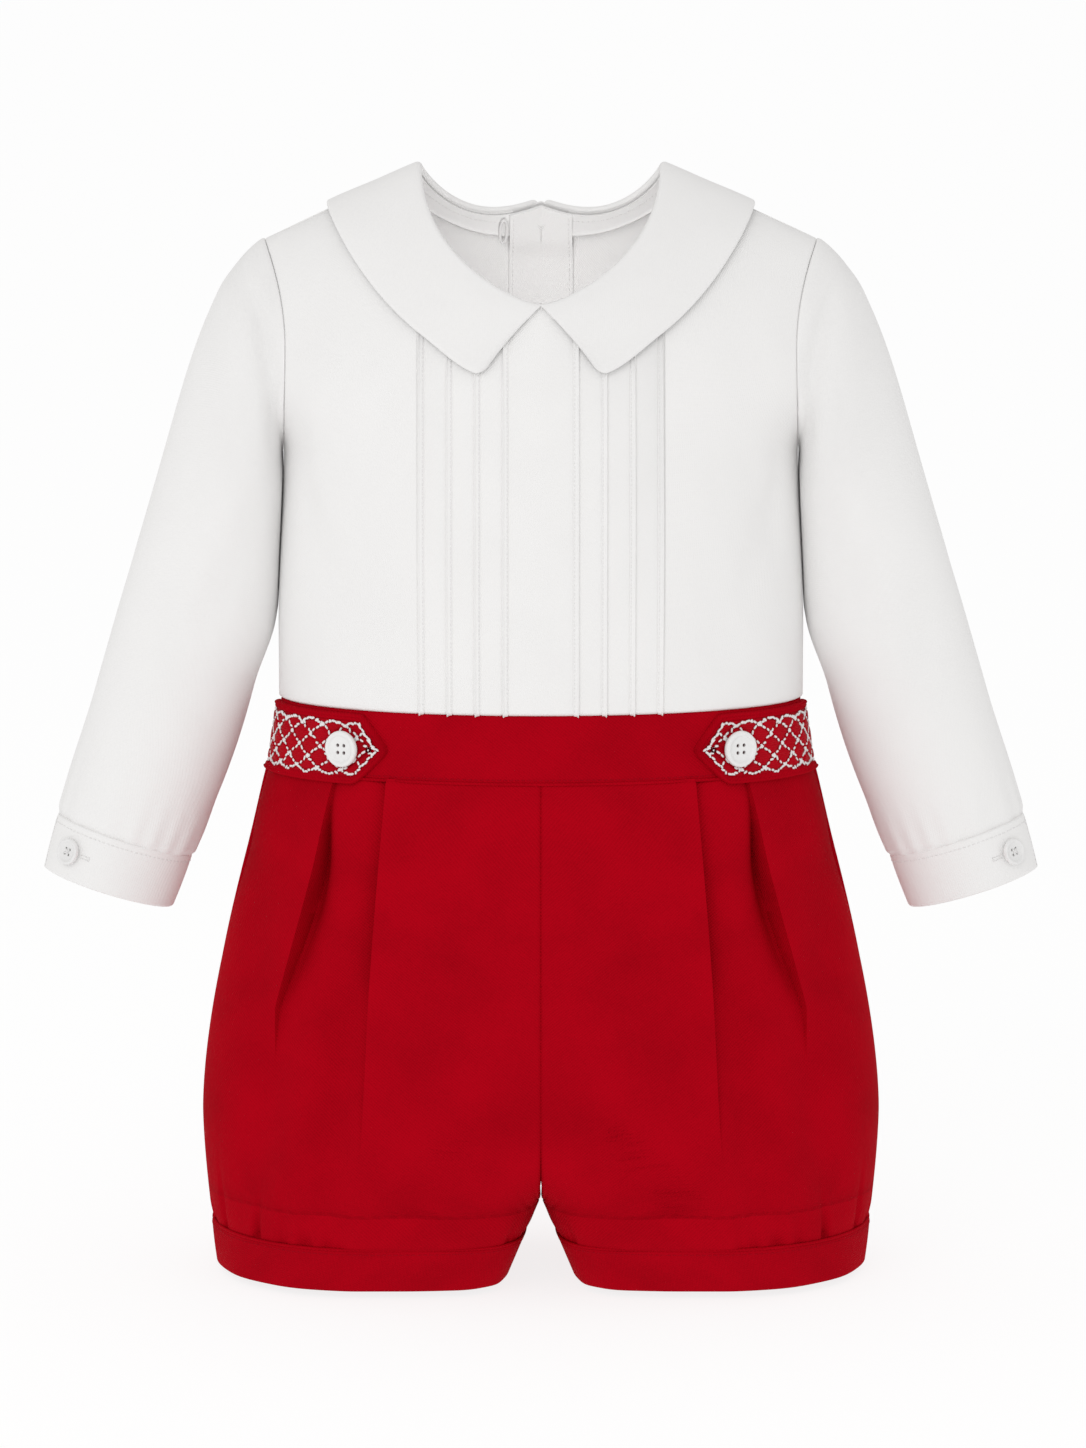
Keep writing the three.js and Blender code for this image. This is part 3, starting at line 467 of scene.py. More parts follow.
poplin = woven("white_poplin", (0.875, 0.868, 0.862), (0.82, 0.812, 0.806), 0.0007, 38, 0.00016, 0.12, 0.05)
white_thread = thread("white_thread", (0.9, 0.89, 0.885), 0.6, 0.3, 0.2)

tuck_first = 15
tuck_pitch = 11.85
tuck_stitch = -1.2
tuck_edge = 1.0


def tuck_height(x):
    """Height of the pintucks: from each stitch line a low fold lies outward for 2.2 mm, thickened
    to a round ridge at its edge where it drops at once, with a fine groove along the stitches."""
    far = np.abs(x)
    nearest = np.clip(np.round((far - tuck_first) / tuck_pitch), 0, 3)
    from_middle = far - tuck_first - nearest * tuck_pitch
    rise = np.clip((from_middle - tuck_stitch) / (tuck_edge - tuck_stitch), 0, 1)
    lying = (from_middle > tuck_stitch) & (from_middle <= tuck_edge + 0.01)
    groove = -0.25 * np.exp(-((from_middle - tuck_stitch + 0.12) / 0.22) ** 2)
    groove = groove - 0.3 * np.exp(-((from_middle - 1.3) / 0.25) ** 2) * (from_middle > tuck_edge)
    ridge = 0.5 * np.exp(-((from_middle - 0.7) / 0.3) ** 2)
    return np.where(lying, 0.25 + 0.3 * rise + ridge, 0) + groove


tuck_columns = np.array([-1.9, -1.5, -1.35, -1.2, -1.1, -0.7, -0.1, 0.25, 0.45, 0.6, 0.75, 0.9, 1.0,
                         1.06, 1.3, 1.5, 2.0])
places = [np.arange(0, 13, 2.2), np.arange(55, 112, 1.9), [112, 112.8, 113.2, 113.6],
          [51.9, 52.15, 52.3, 52.38, 52.4, 52.8, 53.6]]
places += [tuck_first + k * tuck_pitch + tuck_columns for k in range(4)]
places += [tuck_first + (k + 0.5) * tuck_pitch + np.array([-3, -1, 1, 3]) for k in range(3)]
half = np.unique(np.round(np.concatenate(places), 3))
columns = np.concatenate([-half[:0:-1], half])[None, :]


seam_depth = 0.25
seam_width = 1.2


def seam_roll(from_edge):
    """Cloth turned down into a seam: a quarter round."""
    return -seam_depth * quarter_round(np.clip(1 - from_edge / seam_width, 0, 1))


def body_panel(name, columns, side, relief=0):
    """A body panel: the shirt's face moved by its ripples, its seams and any pintucks."""
    x, y, z = panel_grid(columns, side)
    out = shirt_out(x, y, z, side)
    base = np.stack([x, y, z], -1)
    edge = seam_roll(panel_edge(z) - np.abs(x))
    move = shirt_ripple(x, z, side) * ease(0, 12, panel_edge(z) - np.abs(x)) + edge
    outer = base + out * (move + relief)[..., None]
    inner = base + out * (move - shirt_thickness)[..., None]
    return closed_shell(name, outer, inner, poplin)


def fix(piece, body, node=None):
    """Fixes a piece to a body and hides the node that it stands for."""
    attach(piece, body)
    if node:
        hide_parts(node)


shirt_front = body_panel("front_panel", columns, front, tuck_height(columns))
fix(shirt_front, "shirt", "shirt_front")

tuck_z = np.linspace(waist_top + 1, 404, 120)
for side_name, side_of in (("left", 1), ("right", -1)):
    rows = []
    for k in range(4):
        x = side_of * (tuck_first + k * tuck_pitch + tuck_stitch + 0.35) + 0 * tuck_z
        y = shirt_y(x, tuck_z, front)
        out = shirt_out(x, y, tuck_z, front)
        path = np.stack([x, y, tuck_z], -1) + out * (shirt_ripple(x, tuck_z, front) + 0.26)[:, None]
        rows.append(spaced(path, out, 1.9))
    middle, along, out = (np.concatenate(parts) for parts in zip(*rows))
    row = stitches("tuck_stitches_" + side_name, middle, along, out, 1.25, 0.34, 0.22, white_thread)
    fix(row, "shirt")

# Back of the shirt: two panels of the same cotton that stop at the placket down the centre back.
toward_neck = np.concatenate([12.15 + np.array([0, 0.3, 0.8, 1.5]), np.arange(15.5, 52, 1.9)])
half = np.concatenate([toward_neck, [52.4, 52.8, 53.6], np.arange(55, 112, 1.9), [112, 112.8, 113.2, 113.6]])
for side_name, side_of in (("left", 1), ("right", -1)):
    shirt_back = body_panel("back_panel_" + side_name, side_of * half[None, :], back)
    fix(shirt_back, "shirt", "shirt_back_" + side_name)

# Back placket: an under strip inside the shirt and an over strip outside it, both of doubled
# cotton, edge-stitched and closed with five small buttons through upright buttonholes.
def strip_step(z):
    """How much further in the under strip lies where it passes over the neck facing."""
    return 2.2 * ease(436, 447, z)


def back_strip(name, half_width, low, high, roll, step=0):
    """A strip down the centre back between two heights off the shirt, its long edges rolled down."""
    x = np.concatenate([np.linspace(-1, -0.9, 5), np.linspace(-0.85, 0.85, 11), np.linspace(0.9, 1, 5)])
    x = (x * half_width)[None, :]
    x, y, z = panel_grid(x, back)
    out = shirt_out(x, y, z, back)
    base = np.stack([x, y, z], -1)
    near = np.clip(1 - (half_width - np.abs(x)) / roll, 0, 1)
    fall = (high - low) * 0.85 * quarter_round(near)
    worn = shirt_ripple(x, z, back) - step * strip_step(z)
    outer = base + out * (worn + high - fall)[..., None]
    inner = base + out * (worn + low)[..., None]
    return closed_shell(name, outer, inner, poplin)


under_half_width = 14.2
over_half_width = 13.5
over_thickness = 1.5
under_strip = back_strip("placket_under", under_half_width, -2.3, -shirt_thickness - 0.1, 0.2, 1)
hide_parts("back_placket_under")
over_strip = back_strip("placket_over", over_half_width, 0.1, over_thickness, 1.2)
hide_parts("back_placket_over")
for strip in (under_strip, over_strip):
    fix(strip, "shirt")


def shirt_line(x, z, side, lift):
    """A path on the shirt's rippled face, a distance off it, with its outward directions."""
    y = shirt_y(x, z, side)
    out = shirt_out(x, y, z, side)
    return np.stack([x, y, z], -1) + out * (shirt_ripple(x, z, side) + lift)[:, None], out


down = np.linspace(waist_top + 1, 458, 160)
for line_name, place in (("left", 11.8), ("right", -11.8)):
    path, out = shirt_line(place + 0 * down, down, back, 1.45)
    row = stitches("placket_stitches_" + line_name, *spaced(path, out, 2.2), 1.5, 0.36, 0.2, white_thread)
    fix(row, "shirt")
inside_z = np.linspace(waist_top + 1, 456, 150)
for line_name, place in (("left", 12.6), ("right", -12.6)):
    path, out = shirt_line(place + 0 * inside_z, inside_z, back, -2.35 - strip_step(inside_z))
    row = stitches("strip_stitches_" + line_name, *spaced(path, -out, 2.2), 1.5, 0.36, 0.2, white_thread)
    fix(row, "shirt")
tack_x = np.array([0, 0, -1.2, 1.2])
tack_z = np.array([446.5, 449, 451.6, 451.6])
place, out = shirt_line(tack_x, tack_z, back, -2.5 - strip_step(tack_z))
tack_along = np.array([[0, 0, 1.0], [0, 0, 1], [-0.6, 0, 0.8], [0.6, 0, 0.8]])
tack = stitches("neck_tack", place, tack_along, -out, 3, 0.7, 0.35, white_thread)
fix(tack, "shirt")


def button(name, radius, height, place, out, up, shaded_hole_finish, sewn):
    """A round button: one profile turned about its middle, with a raised rim, a shallow dish and
    four holes pressed in as steep round wells. place is its back, out its axis, up one hole
    diagonal's reference. Where sewn, thread crosses the holes. The attribute hole is 1 in a well."""
    rim = [(0, 0.66), (0.3, 0.67), (0.62, 0.74), (0.7, 0.8), (0.76, 0.94), (0.82, 1), (0.9, 0.99),
           (0.96, 0.9), (1, 0.68), (1, 0.4), (0.94, 0.1), (0.8, 0)]
    rim = np.array(rim) * (radius, height)
    key = np.concatenate([[0], np.cumsum(np.linalg.norm(np.diff(rim, axis=0), axis=1))])
    far = key[6]
    at = np.concatenate([np.linspace(0, 0.45 * radius, 46), np.linspace(0.45 * radius, far, 22)[1:],
                         np.linspace(far, key[-1], 16)[1:]])
    r = np.interp(at, key, rim[:, 0])[:, None]
    h = np.interp(at, key, rim[:, 1])[:, None]
    turn = np.linspace(0, 2 * np.pi, 112, endpoint=False)[None, :]
    x = r * np.cos(turn)
    y = r * np.sin(turn)
    hole = np.zeros(x.shape)
    for sx in (-1, 1):
        for sy in (-1, 1):
            away = np.hypot(x - sx * 0.2 * radius, y - sy * 0.2 * radius)
            hole = np.maximum(hole, 1 - ease(0.07 * radius, 0.105 * radius, away))
    top = (at <= far)[:, None]
    hole = hole * top
    h = h - hole * 0.45 * height
    out = out / np.linalg.norm(out)
    right = np.cross(up, out)
    right = right / np.linalg.norm(right)
    level = np.cross(out, right)
    points = place + x[..., None] * right + y[..., None] * level + (h + 0 * x)[..., None] * out
    rows, columns = x.shape
    number = np.arange(rows * columns).reshape(rows, columns)
    number[0] = number[0, 0]
    wrapped = np.hstack([number, number[:, :1]])
    quads = np.stack([wrapped[1:-1, :-1], wrapped[1:-1, 1:], wrapped[2:, 1:], wrapped[2:, :-1]], -1)
    fan = np.stack([wrapped[0, :-1], wrapped[1, 1:], wrapped[1, :-1]], -1)
    faces = quads.reshape(-1, 4)[:, ::-1].tolist() + fan[:, ::-1].tolist() + [number[-1].tolist()]
    mesh = bpy.data.meshes.new(name)
    mesh.from_pydata((points.reshape(-1, 3) / 1000).tolist(), [], faces)
    well = mesh.attributes.new("hole", "FLOAT", "POINT")
    well.data.foreach_set("value", hole.astype(np.float32).ravel())
    mesh.update()
    mesh.polygons.foreach_set("use_smooth", np.ones(len(mesh.polygons), dtype=bool))
    mesh.polygons[-1].use_smooth = False
    # The finish paints shade into the wells where the attribute hole is 1.
    mesh.materials.append(shaded_hole_finish)
    piece = bpy.data.objects.new(name, mesh)
    scene.collection.objects.link(piece)
    if sewn:
        middle = np.repeat((place + 0.68 * height * out)[None], 2, 0)
        cross = np.stack([right + level, right - level])
        legs = stitches(name + "_thread", middle, cross, np.repeat(out[None], 2, 0), 0.62 * radius,
                        0.13 * radius, 0.1 * radius, white_thread)
        return piece, legs
    return piece, None


def moulded(name, colour, shaded_hole_colour):
    """Finish of a moulded button: satin gloss with faint clouding. Its holes take the second colour, painted
    shade for the dark seen down them.
    """
    finish, nodes, links, shader = new_finish(name, {
        "Roughness": 0.34, "Specular IOR Level": 0.4, "Coat Weight": 0.25, "Coat Roughness": 0.2})
    where = add_node(nodes, "TexCoord", {})
    cloud = add_node(nodes, "TexNoise", {"Scale": 260, "Distortion": 1.2})
    links.new(where.outputs["Object"], cloud.inputs["Vector"])
    tone = two_tone(nodes, links, cloud.outputs["Fac"], colour, [0.9 * c for c in colour])
    well = add_node(nodes, "Attribute", {}, attribute_name="hole")
    # Painted shade: where the attribute hole is 1 the colour turns to the darker hole colour.
    deep = two_tone(nodes, links, well.outputs["Fac"], colour, shaded_hole_colour)
    links.new(tone.outputs["Result"], deep.inputs["A"])
    links.new(deep.outputs["Result"], shader.inputs["Base Color"])
    return finish


# Grey in the white buttons' holes is painted shade.
shell_white = moulded("white_button", (0.85, 0.845, 0.84), (0.5, 0.49, 0.48))
back_button_radius = 5.5
back_button_height = 2.3
first_button = 65     # below the neck point
button_pitch = 36
hole_middle = []
for k in range(5):
    z = np.array([neck_point - first_button - button_pitch * k])
    place, out = shirt_line(0 * z, z, back, 1.75)
    name = "back_button_piece_%d" % (k + 1)
    disc, legs = button(name, back_button_radius, back_button_height, place[0], out[0],
                        np.array([0, 0, 1]), shell_white, True)
    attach(disc, "shirt")
    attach(legs, "shirt")
    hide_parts("back_button_%d" % (k + 1))
    hole_middle.append(z[0])
# Buttonholes: two close rows of upright thread with a bar across each end
rows = []
for z0 in hole_middle:
    for place in (-0.7, 0.7):
        z = np.linspace(z0 - 8.5, z0 + 8.5, 24)
        path, out = shirt_line(place + 0 * z, z, back, 1.5)
        rows.append((path, np.repeat([[1.0, 0, 0]], 24, 0), out))
    for end in (-9, 9):
        z = np.array([z0 + end])
        path, out = shirt_line(0 * z, z, back, 1.5)
        rows.append((path, np.array([[1.0, 0, 0]]), out))
middle, along, out = (np.concatenate(parts) for parts in zip(*rows))
lengths = np.tile(np.concatenate([np.full(48, 1.3), [3.0, 3.0]]), 5)
holes = stitches("buttonholes", middle, along, out, lengths, 0.8, 0.3, white_thread)
fix(holes, "shirt")

# Collar: two flat round halves of doubled cotton, rolled over the neckline, with rounded points at
# the centre front and centre back.
collar_reach_x = 90.5
collar_depth = {front: 26.4, back: 35.9}
collar_end = {front: np.radians(75.6), back: np.radians(85)}
neck_corner = {front: 1.2, back: 4.5}   # radius of its corners at the neckline
neck_reach = {front: abs(shirt_y(0, neck_front_z, front)), back: abs(shirt_y(0, neck_back_z, back))}
collar_reach = {
    front: abs(shirt_y(0, neck_front_z - collar_depth[front], front)),
    back: abs(shirt_y(0, neck_back_z - collar_depth[back], back)),
}


def band_plan(angle, outer_angle, share, side, outer_x, outer_y):
    """Plan of a band round the neckline: a blend of the neckline's oval and an outer oval."""
    neck_x = neck_half_width * np.abs(np.cos(angle)) ** neck_across[side]
    neck_y = neck_reach[side] * np.abs(np.sin(angle)) ** neck_deep[side]
    x = mix(neck_x, outer_x * np.abs(np.cos(outer_angle)), share)
    return x, mix(neck_y, outer_y * np.abs(np.sin(outer_angle)), share)


def collar_point(angle, share, lift, side):
    """A point of the left collar half, by angle from the shoulder and share from the neckline out.
    Near an end its outer and inner edges draw in along quarter rounds."""
    turn = angle / (np.pi / 2)
    from_end = (1 - turn) * collar_reach_x * collar_end[side]
    lost = []
    for corner in (3.4, neck_corner[side]):
        into = np.clip(1 - from_end / corner, 0, 1)
        lost.append(corner / collar_depth[side] * quarter_round(into))
    longer = 1 + (0.08 * ease(0.75, 1, turn) if side == front else 0)
    x, y = band_plan(angle, turn * collar_end[side], mix(lost[1], longer - lost[0], share), side,
                     collar_reach_x, collar_reach[side])
    x = np.maximum(x, 0.15)
    z = shirt_z(x, y, side)
    out = shirt_out(x, side * y, z, side)
    return np.stack([x, side * y, z], -1) + out * lift[..., None], out


turn = np.concatenate([0.05 * np.linspace(0, 1, 14) ** 3, np.linspace(0.06, 0.86, 58),
                       np.linspace(0.87, 0.965, 14),
                       1 - 0.034 * np.linspace(1, 0, 18) ** 1.8])
share = np.concatenate([np.linspace(0, 0.93, 34), 1 - 0.065 * np.linspace(1, 0, 14) ** 1.7])
half_grids = []
for side in (front, back):
    angle = (turn * np.pi / 2)[None, :]
    across = share[:, None] + 0 * angle
    rest = 0.8 if side == front else mix(0.8, 1.5, ease(0.2, 0.9, angle))
    flare = 0.9 * ease(0.35, 1, across)
    low = rest + 0.3 + flare
    flat, out = collar_point(angle, across, 0 * across, side)
    span = np.linalg.norm(flat[-1] - flat[0], axis=-1)[None, :]
    from_edge = (1 - across) * span
    from_end = (1 - turn)[None, :] * (45 + 45 * across)
    near = np.minimum(from_edge, from_end)
    roll = np.clip(1 - near / 1.5, 0, 1)
    body = 1.7 - 1.5 * quarter_round(roll)
    puff = 0.35 * np.sin(np.pi * np.clip(across, 0, 1)) ** 0.7
    outer, out = collar_point(angle, across, low + body + puff, side)
    # Over the neckline: a half round from inside the neck up to the outer layer
    lead = outer[:1] - outer[1:2]
    lead = unit(lead)
    top = outer[:1]
    bend = np.linspace(np.pi, 0, 11)[:-1, None, None]
    near = np.clip((1 - turn) * 45 / 3, 0, 1)
    radius = (0.7 + 1.3 * np.sqrt(1 - (1 - near) ** 2))[None, :, None]
    middle = top - out[:1] * radius
    roll_points = middle + radius * (out[:1] * np.cos(bend) + lead * np.sin(bend))
    leg = np.linspace(6, 0.6, 6)[:, None, None]
    inner_leg = top - out[:1] * 2 * radius - lead * leg
    grid = np.concatenate([inner_leg, roll_points, outer])
    half_grids.append(grid)
whole = np.concatenate([half_grids[0][:, ::-1], half_grids[1][:, 1:]], axis=1)
inner = whole - 0.7 * normals(whole) * np.sign(normals(whole)[-20:, 60:62, 2].mean())
for side_name, side_of in (("left", 1), ("right", -1)):
    flip = np.array([side_of, 1, 1])
    half_collar = closed_shell("collar_half_" + side_name, whole * flip, inner * flip, poplin)
    fix(half_collar, "shirt", "collar_" + side_name)

# Neck facing: a bias strip of the same cotton inside the neckline, open at the centre back, with a
# corded lower edge and a row of stitches near the top, and a small hanging loop sewn to it.
facing_depth = 11
facing_reach = {
    front: abs(shirt_y(0, neck_front_z - facing_depth, front)),
    back: abs(shirt_y(0, neck_back_z - facing_depth, back)),
}


def facing_point(angle, share, deep):
    """A point of the facing by angle from the wearer's left shoulder, through the centre front at
    a quarter turn; share runs down from the neckline, deep is the distance inside the shirt."""
    sign = np.where(np.cos(angle) < 0, -1, 1)
    points = []
    for side in (front, back):
        x, y = band_plan(angle, angle, share, side, neck_half_width + facing_depth, facing_reach[side])
        x = sign * np.maximum(x, 0.3)
        z = shirt_z(x, y, side)
        out = shirt_out(x, side * y, z, side)
        points.append(np.stack([x, side * y, z], -1) - out * deep[..., None])
    return np.where((np.sin(angle) > 0)[..., None], points[0], points[1])


near_shoulder = 8 * np.linspace(-1, 1, 27) ** 3
angle = np.concatenate([np.linspace(-89.7, -9, 60), near_shoulder, np.linspace(9, 171, 110),
                        180 + near_shoulder, np.linspace(189, 269.7, 60)])
angle = np.radians(angle)[None, :]
share = np.linspace(0, 1, 14)[:, None]
ease_in = mix(0.8, 2.8, ease(-0.9, -0.2, np.sin(angle)))
cord = 0.7 * np.exp(-((share - 0.94) / 0.06) ** 2)
outer = facing_point(angle, share, 1.7 + ease_in + 0 * share)
inner = facing_point(angle, share, 2.5 + ease_in + cord)
facing = closed_shell("neck_binding", inner, outer, poplin)
fix(facing, "shirt", "neck_facing")

row_share = np.full(angle.shape, 0.32)
path = facing_point(angle, row_share, 2.55 + ease_in)[0]
inward = facing_point(angle, row_share, 3.55 + ease_in)[0] - path
row = stitches("facing_stitches", *spaced(path, inward, 2.2), 1.5, 0.36, 0.22, white_thread)
fix(row, "shirt")

loop_x = -17.0
loop_z = np.array([neck_back_z - facing_depth])
y = shirt_y(np.array([loop_x]), loop_z, back)
out = shirt_out(np.array([loop_x]), y, loop_z, back)[0]
loop_middle = np.array([loop_x, y[0], loop_z[0]]) - out * 4.7
sideways = np.cross([0, 0, 1], out)
sideways = sideways / np.linalg.norm(sideways)
upward = np.cross(out, sideways)
turn = np.linspace(0, 2 * np.pi, 48, endpoint=False)[None, :, None]
ring = loop_middle + 1.5 * np.cos(turn) * sideways + 5.2 * np.sin(turn) * upward
radial = np.cos(turn) * sideways + np.sin(turn) * upward
bend = np.linspace(0, 2 * np.pi, 13)[:, None, None]
cord_points = ring + 0.6 * (np.cos(bend) * radial + np.sin(bend) * out)
loop = closed_shell("hanging_loop", cord_points, ring + 0 * cord_points, white_thread, wrap=True)
fix(loop, "shirt", "hanger_loop")

# Sleeves: one tube of poplin each, set into the armhole and falling 18 degrees out from straight
# down, with a soft fold round the armhole and a little fullness let into the cuff.
arm_down = np.array([np.sin(np.radians(18)), -np.cos(np.radians(18))])
arm_out = np.array([np.cos(np.radians(18)), np.sin(np.radians(18))])
cuff_middle = np.array([118.0, 447.0]) + 264 * arm_down - 20.2 * arm_out
cuff_half_width = 30.1
cuff_half_depth = 23
cuff_depth = 24.6


def curve(a, b, c, d, s):
    """A cubic curve through a and d, pulled by b and c."""
    s = s[..., None]
    return (1 - s) ** 3 * a + 3 * (1 - s) ** 2 * s * b + 3 * (1 - s) * s ** 2 * c + s ** 3 * d


def sleeve_point(angle, s):
    """The left sleeve's face: from the armhole's edge it turns within a third of its length into
    an oval between an outer and an inner curve. angle 0 is the outer curve, a quarter turn the
    front."""
    tip = np.array([118.0, 447.0])
    pit = np.array([111.1, 357.0])
    outer_end = cuff_middle + cuff_half_width * arm_out
    inner_end = cuff_middle - cuff_half_width * arm_out
    fall = tip[1] - outer_end[1]
    drop = pit[1] - inner_end[1]
    o = curve(tip, tip + (25, -0.035 * fall),
              np.array([mix(tip[0], outer_end[0], 0.37), tip[1] - 0.23 * fall]), outer_end, s)
    i = curve(pit, pit + (6, -0.26 * drop), pit + (-4, -0.46 * drop), inner_end, s)
    depth = mix(33, cuff_half_depth, ease(0, 1, s))
    share = 0.5 + 0.5 * np.cos(angle)
    oval = np.stack([mix(i[..., 0], o[..., 0], share), -depth * np.sin(angle),
                     mix(i[..., 1], o[..., 1], share)], -1)
    z = mix(underarm, shoulder_tip, share)
    x = armhole_x(z)
    y = np.where(np.sin(angle) >= 0, shirt_y(x, z, front), shirt_y(x, z, back))
    seam = np.stack([x + 0.3, y, z], -1)
    return mix(seam, oval, ease(0, 0.3, s)[..., None])


s = np.concatenate([[0, 0.012, 0.018, 0.024], np.linspace(0.03, 0.98, 150), np.linspace(0.984, 0.999, 6)])
s = s[:, None]
turn = np.linspace(0, 2 * np.pi, 132, endpoint=False)[None, :]
base = sleeve_point(turn + 0 * s, s + 0 * turn)
out = normals(base, wrap=True)
out = out * np.sign(np.sum(out[80] * (base[80] - base[80].mean(axis=0))))
out[:4] = out[4]
x, y, z = np.moveaxis(base, 2, 0)
beside = x - armhole_x(np.clip(z, underarm, shoulder_tip))
face = np.where(y < 0, 1, 0.75)
valley = fold(beside, z, [2, 4.5, 8.5, 15], [348, 378, 404, 440], 4.2, 2.3)
crown = -fold(beside, z, [8, 11, 17, 24], [345, 378, 404, 436], 6, 0.9)
drag = fold(x, z, [150, 128, 118], [270, 318, 352], 9, 1.3)
elbow = fold(x, z, [172, 160, 166], [262, 285, 318], 10, 0.9)
slow = 0.55 * np.sin(2 * turn + 7 * s + 0.6) * np.sin(9 * s + 1.1)
let_in = 0.25 * np.sin(turn * 17 + 2.2 * np.sin(3 * turn)) * np.exp(-((1 - s) / 0.045) ** 2)
seam = -0.15 * np.exp(-(s / 0.018) ** 2) - 0.9 * np.exp(-((1 - s) / 0.003) ** 2)
swell = 1.0 * ease(0.9, 0.97, s)
move = face * (valley + crown + drag + elbow) * ease(0.015, 0.1, s)
move = move + slow * ease(0, 0.1, s) * (1 - ease(0.9, 1, s))
move = move + let_in + seam + swell
outer = base + out * move[..., None]
# It lies against the side of the body for a stretch below the underarm
hug = 2.8 * ease(254, 282, z) * (1 - ease(335, 357, z)) * (0.5 - 0.5 * np.cos(turn)) ** 3
hug = hug - np.maximum(0, np.minimum(outer[..., 0], shirt_width(z) + 0.1) - outer[..., 0] + hug)
outer[..., 0] -= hug
inner = outer - shirt_thickness * out
# Seam allowances run on under the body's edge and inside the cuff
under_body = np.array([-1.3, 0, 0]) - 0.9 * out[:1]
under_cuff = np.array([1.8 * arm_down[0], 0, 1.8 * arm_down[1]]) - 0.5 * out[-1:]
outer = np.concatenate([outer[:1] + under_body, outer, outer[-1:] + under_cuff])
inner = np.concatenate([inner[:1] + under_body, inner, inner[-1:] + under_cuff])
for side_name, side_of in (("left", 1), ("right", -1)):
    flip = np.array([side_of, 1, 1])
    sleeve = closed_shell("sleeve_tube_" + side_name, outer * flip, inner * flip, poplin, wrap=True)
    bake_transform(sleeve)
    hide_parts("sleeve_" + side_name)

# Cuffs: a stiff doubled band round each wrist that laps on its outer side, topstitched below its
# seam and along its lap, and closed by one sewn button through a level buttonhole.
def cuff_point(angle, v, lift):
    """The left cuff's face, a slightly tapering oval; v runs down it and angle starts outside. The
    lap is a step at 14 degrees that dies away towards the front."""
    half = cuff_half_width - 1.3 * v + lift
    deep = cuff_half_depth - 1.3 * v + lift
    middle = cuff_middle + (0.3 + v * cuff_depth)[..., None] * arm_down
    side = middle + (half * np.cos(angle))[..., None] * arm_out
    return np.stack([side[..., 0], -deep * np.sin(angle), side[..., 1]], -1)


lap_edge = np.radians(14)


def cuff_lap(angle):
    """Height of the lapping end: 1.1 mm just past the lap's edge, gone a third of a turn on."""
    past = np.mod(angle - lap_edge, 2 * np.pi)
    return 1.1 * (1 - ease(0.9, 2.2, past)) * ease(-0.001, 0.03, past)


turn = np.sort(np.concatenate([np.linspace(0, 2 * np.pi, 180, endpoint=False),
                               lap_edge + np.array([-0.004, 0.008, 0.016, 0.024, 0.032, 0.05])]))[None, :]
v = np.concatenate([np.linspace(0, 0.07, 8), np.linspace(0.1, 0.9, 17), np.linspace(0.93, 1, 8)])[:, None]
grid_v = v + 0 * turn
near = np.clip(1 - np.minimum(v, 1 - v) * cuff_depth / 1.4, 0, 1)
rolled = mix(-0.6, -1.1, v) * quarter_round(near)
bulge = 0.25 * np.sin(np.pi * v)
stitched = -0.22 * np.exp(-((v - 0.125) / 0.02) ** 2)
lift = rolled + bulge + cuff_lap(turn) + 0.3 + stitched
outer = cuff_point(turn + 0 * v, grid_v, lift)
inner = cuff_point(turn + 0 * v, grid_v, -1.6 + 0 * lift)
row_turn = np.linspace(0, 2 * np.pi, 241)
row_v = np.full(241, 0.125)
path = cuff_point(row_turn, row_v, 0.35 + cuff_lap(row_turn))
facing_out = cuff_point(row_turn, row_v, 5 + 0 * row_turn) - cuff_point(row_turn, row_v, 0 * row_turn)
ring_row = spaced(path, facing_out, 2.1)
edge_v = np.linspace(0.04, 0.96, 40)
edge_turn = np.full(40, lap_edge + 0.075)
edge_path = cuff_point(edge_turn, edge_v, 1.6 + 0 * edge_v)
edge_out = cuff_point(edge_turn, edge_v, 5 + 0 * edge_v) - cuff_point(edge_turn, edge_v, 0 * edge_v)
edge_row = spaced(edge_path, edge_out, 2.1)
button_angle = np.radians(50)
cuff_button_radius = 5.75
cuff_button_height = 2.4
hole_turn = button_angle + np.array([0.21, 0.245, 0.28, 0.315])
hole_turn = np.concatenate([hole_turn, hole_turn, [0.335 + button_angle]])
hole_v = 0.5 + np.array([-1.0] * 4 + [1.0] * 4 + [0]) * 0.028
hole_lift = 1.7 + 0 * hole_v
hole_place = cuff_point(hole_turn, hole_v, hole_lift)
hole_out = cuff_point(hole_turn, hole_v, hole_lift + 3) - hole_place
hole_out = unit(hole_out)
hole_along = cuff_point(hole_turn + 0.02, hole_v, hole_lift) - hole_place
hole_along[8] = [arm_down[0], 0, arm_down[1]]
hole_length = np.array([1.0] * 8 + [2.2])
for side_name, side_of in (("left", 1), ("right", -1)):
    flip = np.array([side_of, 1, 1])
    cuff = closed_shell("cuff_band_" + side_name, outer * flip, inner * flip, poplin, wrap=True)
    fix(cuff, "sleeve_" + side_name, "cuff_" + side_name)
    middle, along, facing_row = (np.concatenate(pair) * flip for pair in zip(ring_row, edge_row))
    middle = np.concatenate([middle, hole_place * flip])
    along = np.concatenate([along, hole_along * flip])
    facing_row = np.concatenate([facing_row, hole_out * flip])
    lengths = np.concatenate([np.full(len(middle) - 9, 1.45), hole_length])
    row = stitches("cuff_stitches_" + side_name, middle, along, facing_row, lengths, 0.4, 0.26, white_thread)
    fix(row, "sleeve_" + side_name)
    seat = cuff_point(np.array([button_angle]), np.array([0.5]), np.array([1.75]))[0]
    proud = cuff_point(np.array([button_angle]), np.array([0.5]), np.array([4.0]))[0] - seat
    disc, legs = button("cuff_button_disc_" + side_name, cuff_button_radius, cuff_button_height,
                        seat * flip, proud * flip,
                        np.array([-arm_down[0] * side_of, 0, -arm_down[1]]), shell_white, True)
    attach(disc, "sleeve_" + side_name)
    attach(legs, "sleeve_" + side_name)
    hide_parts("cuff_button_" + side_name)

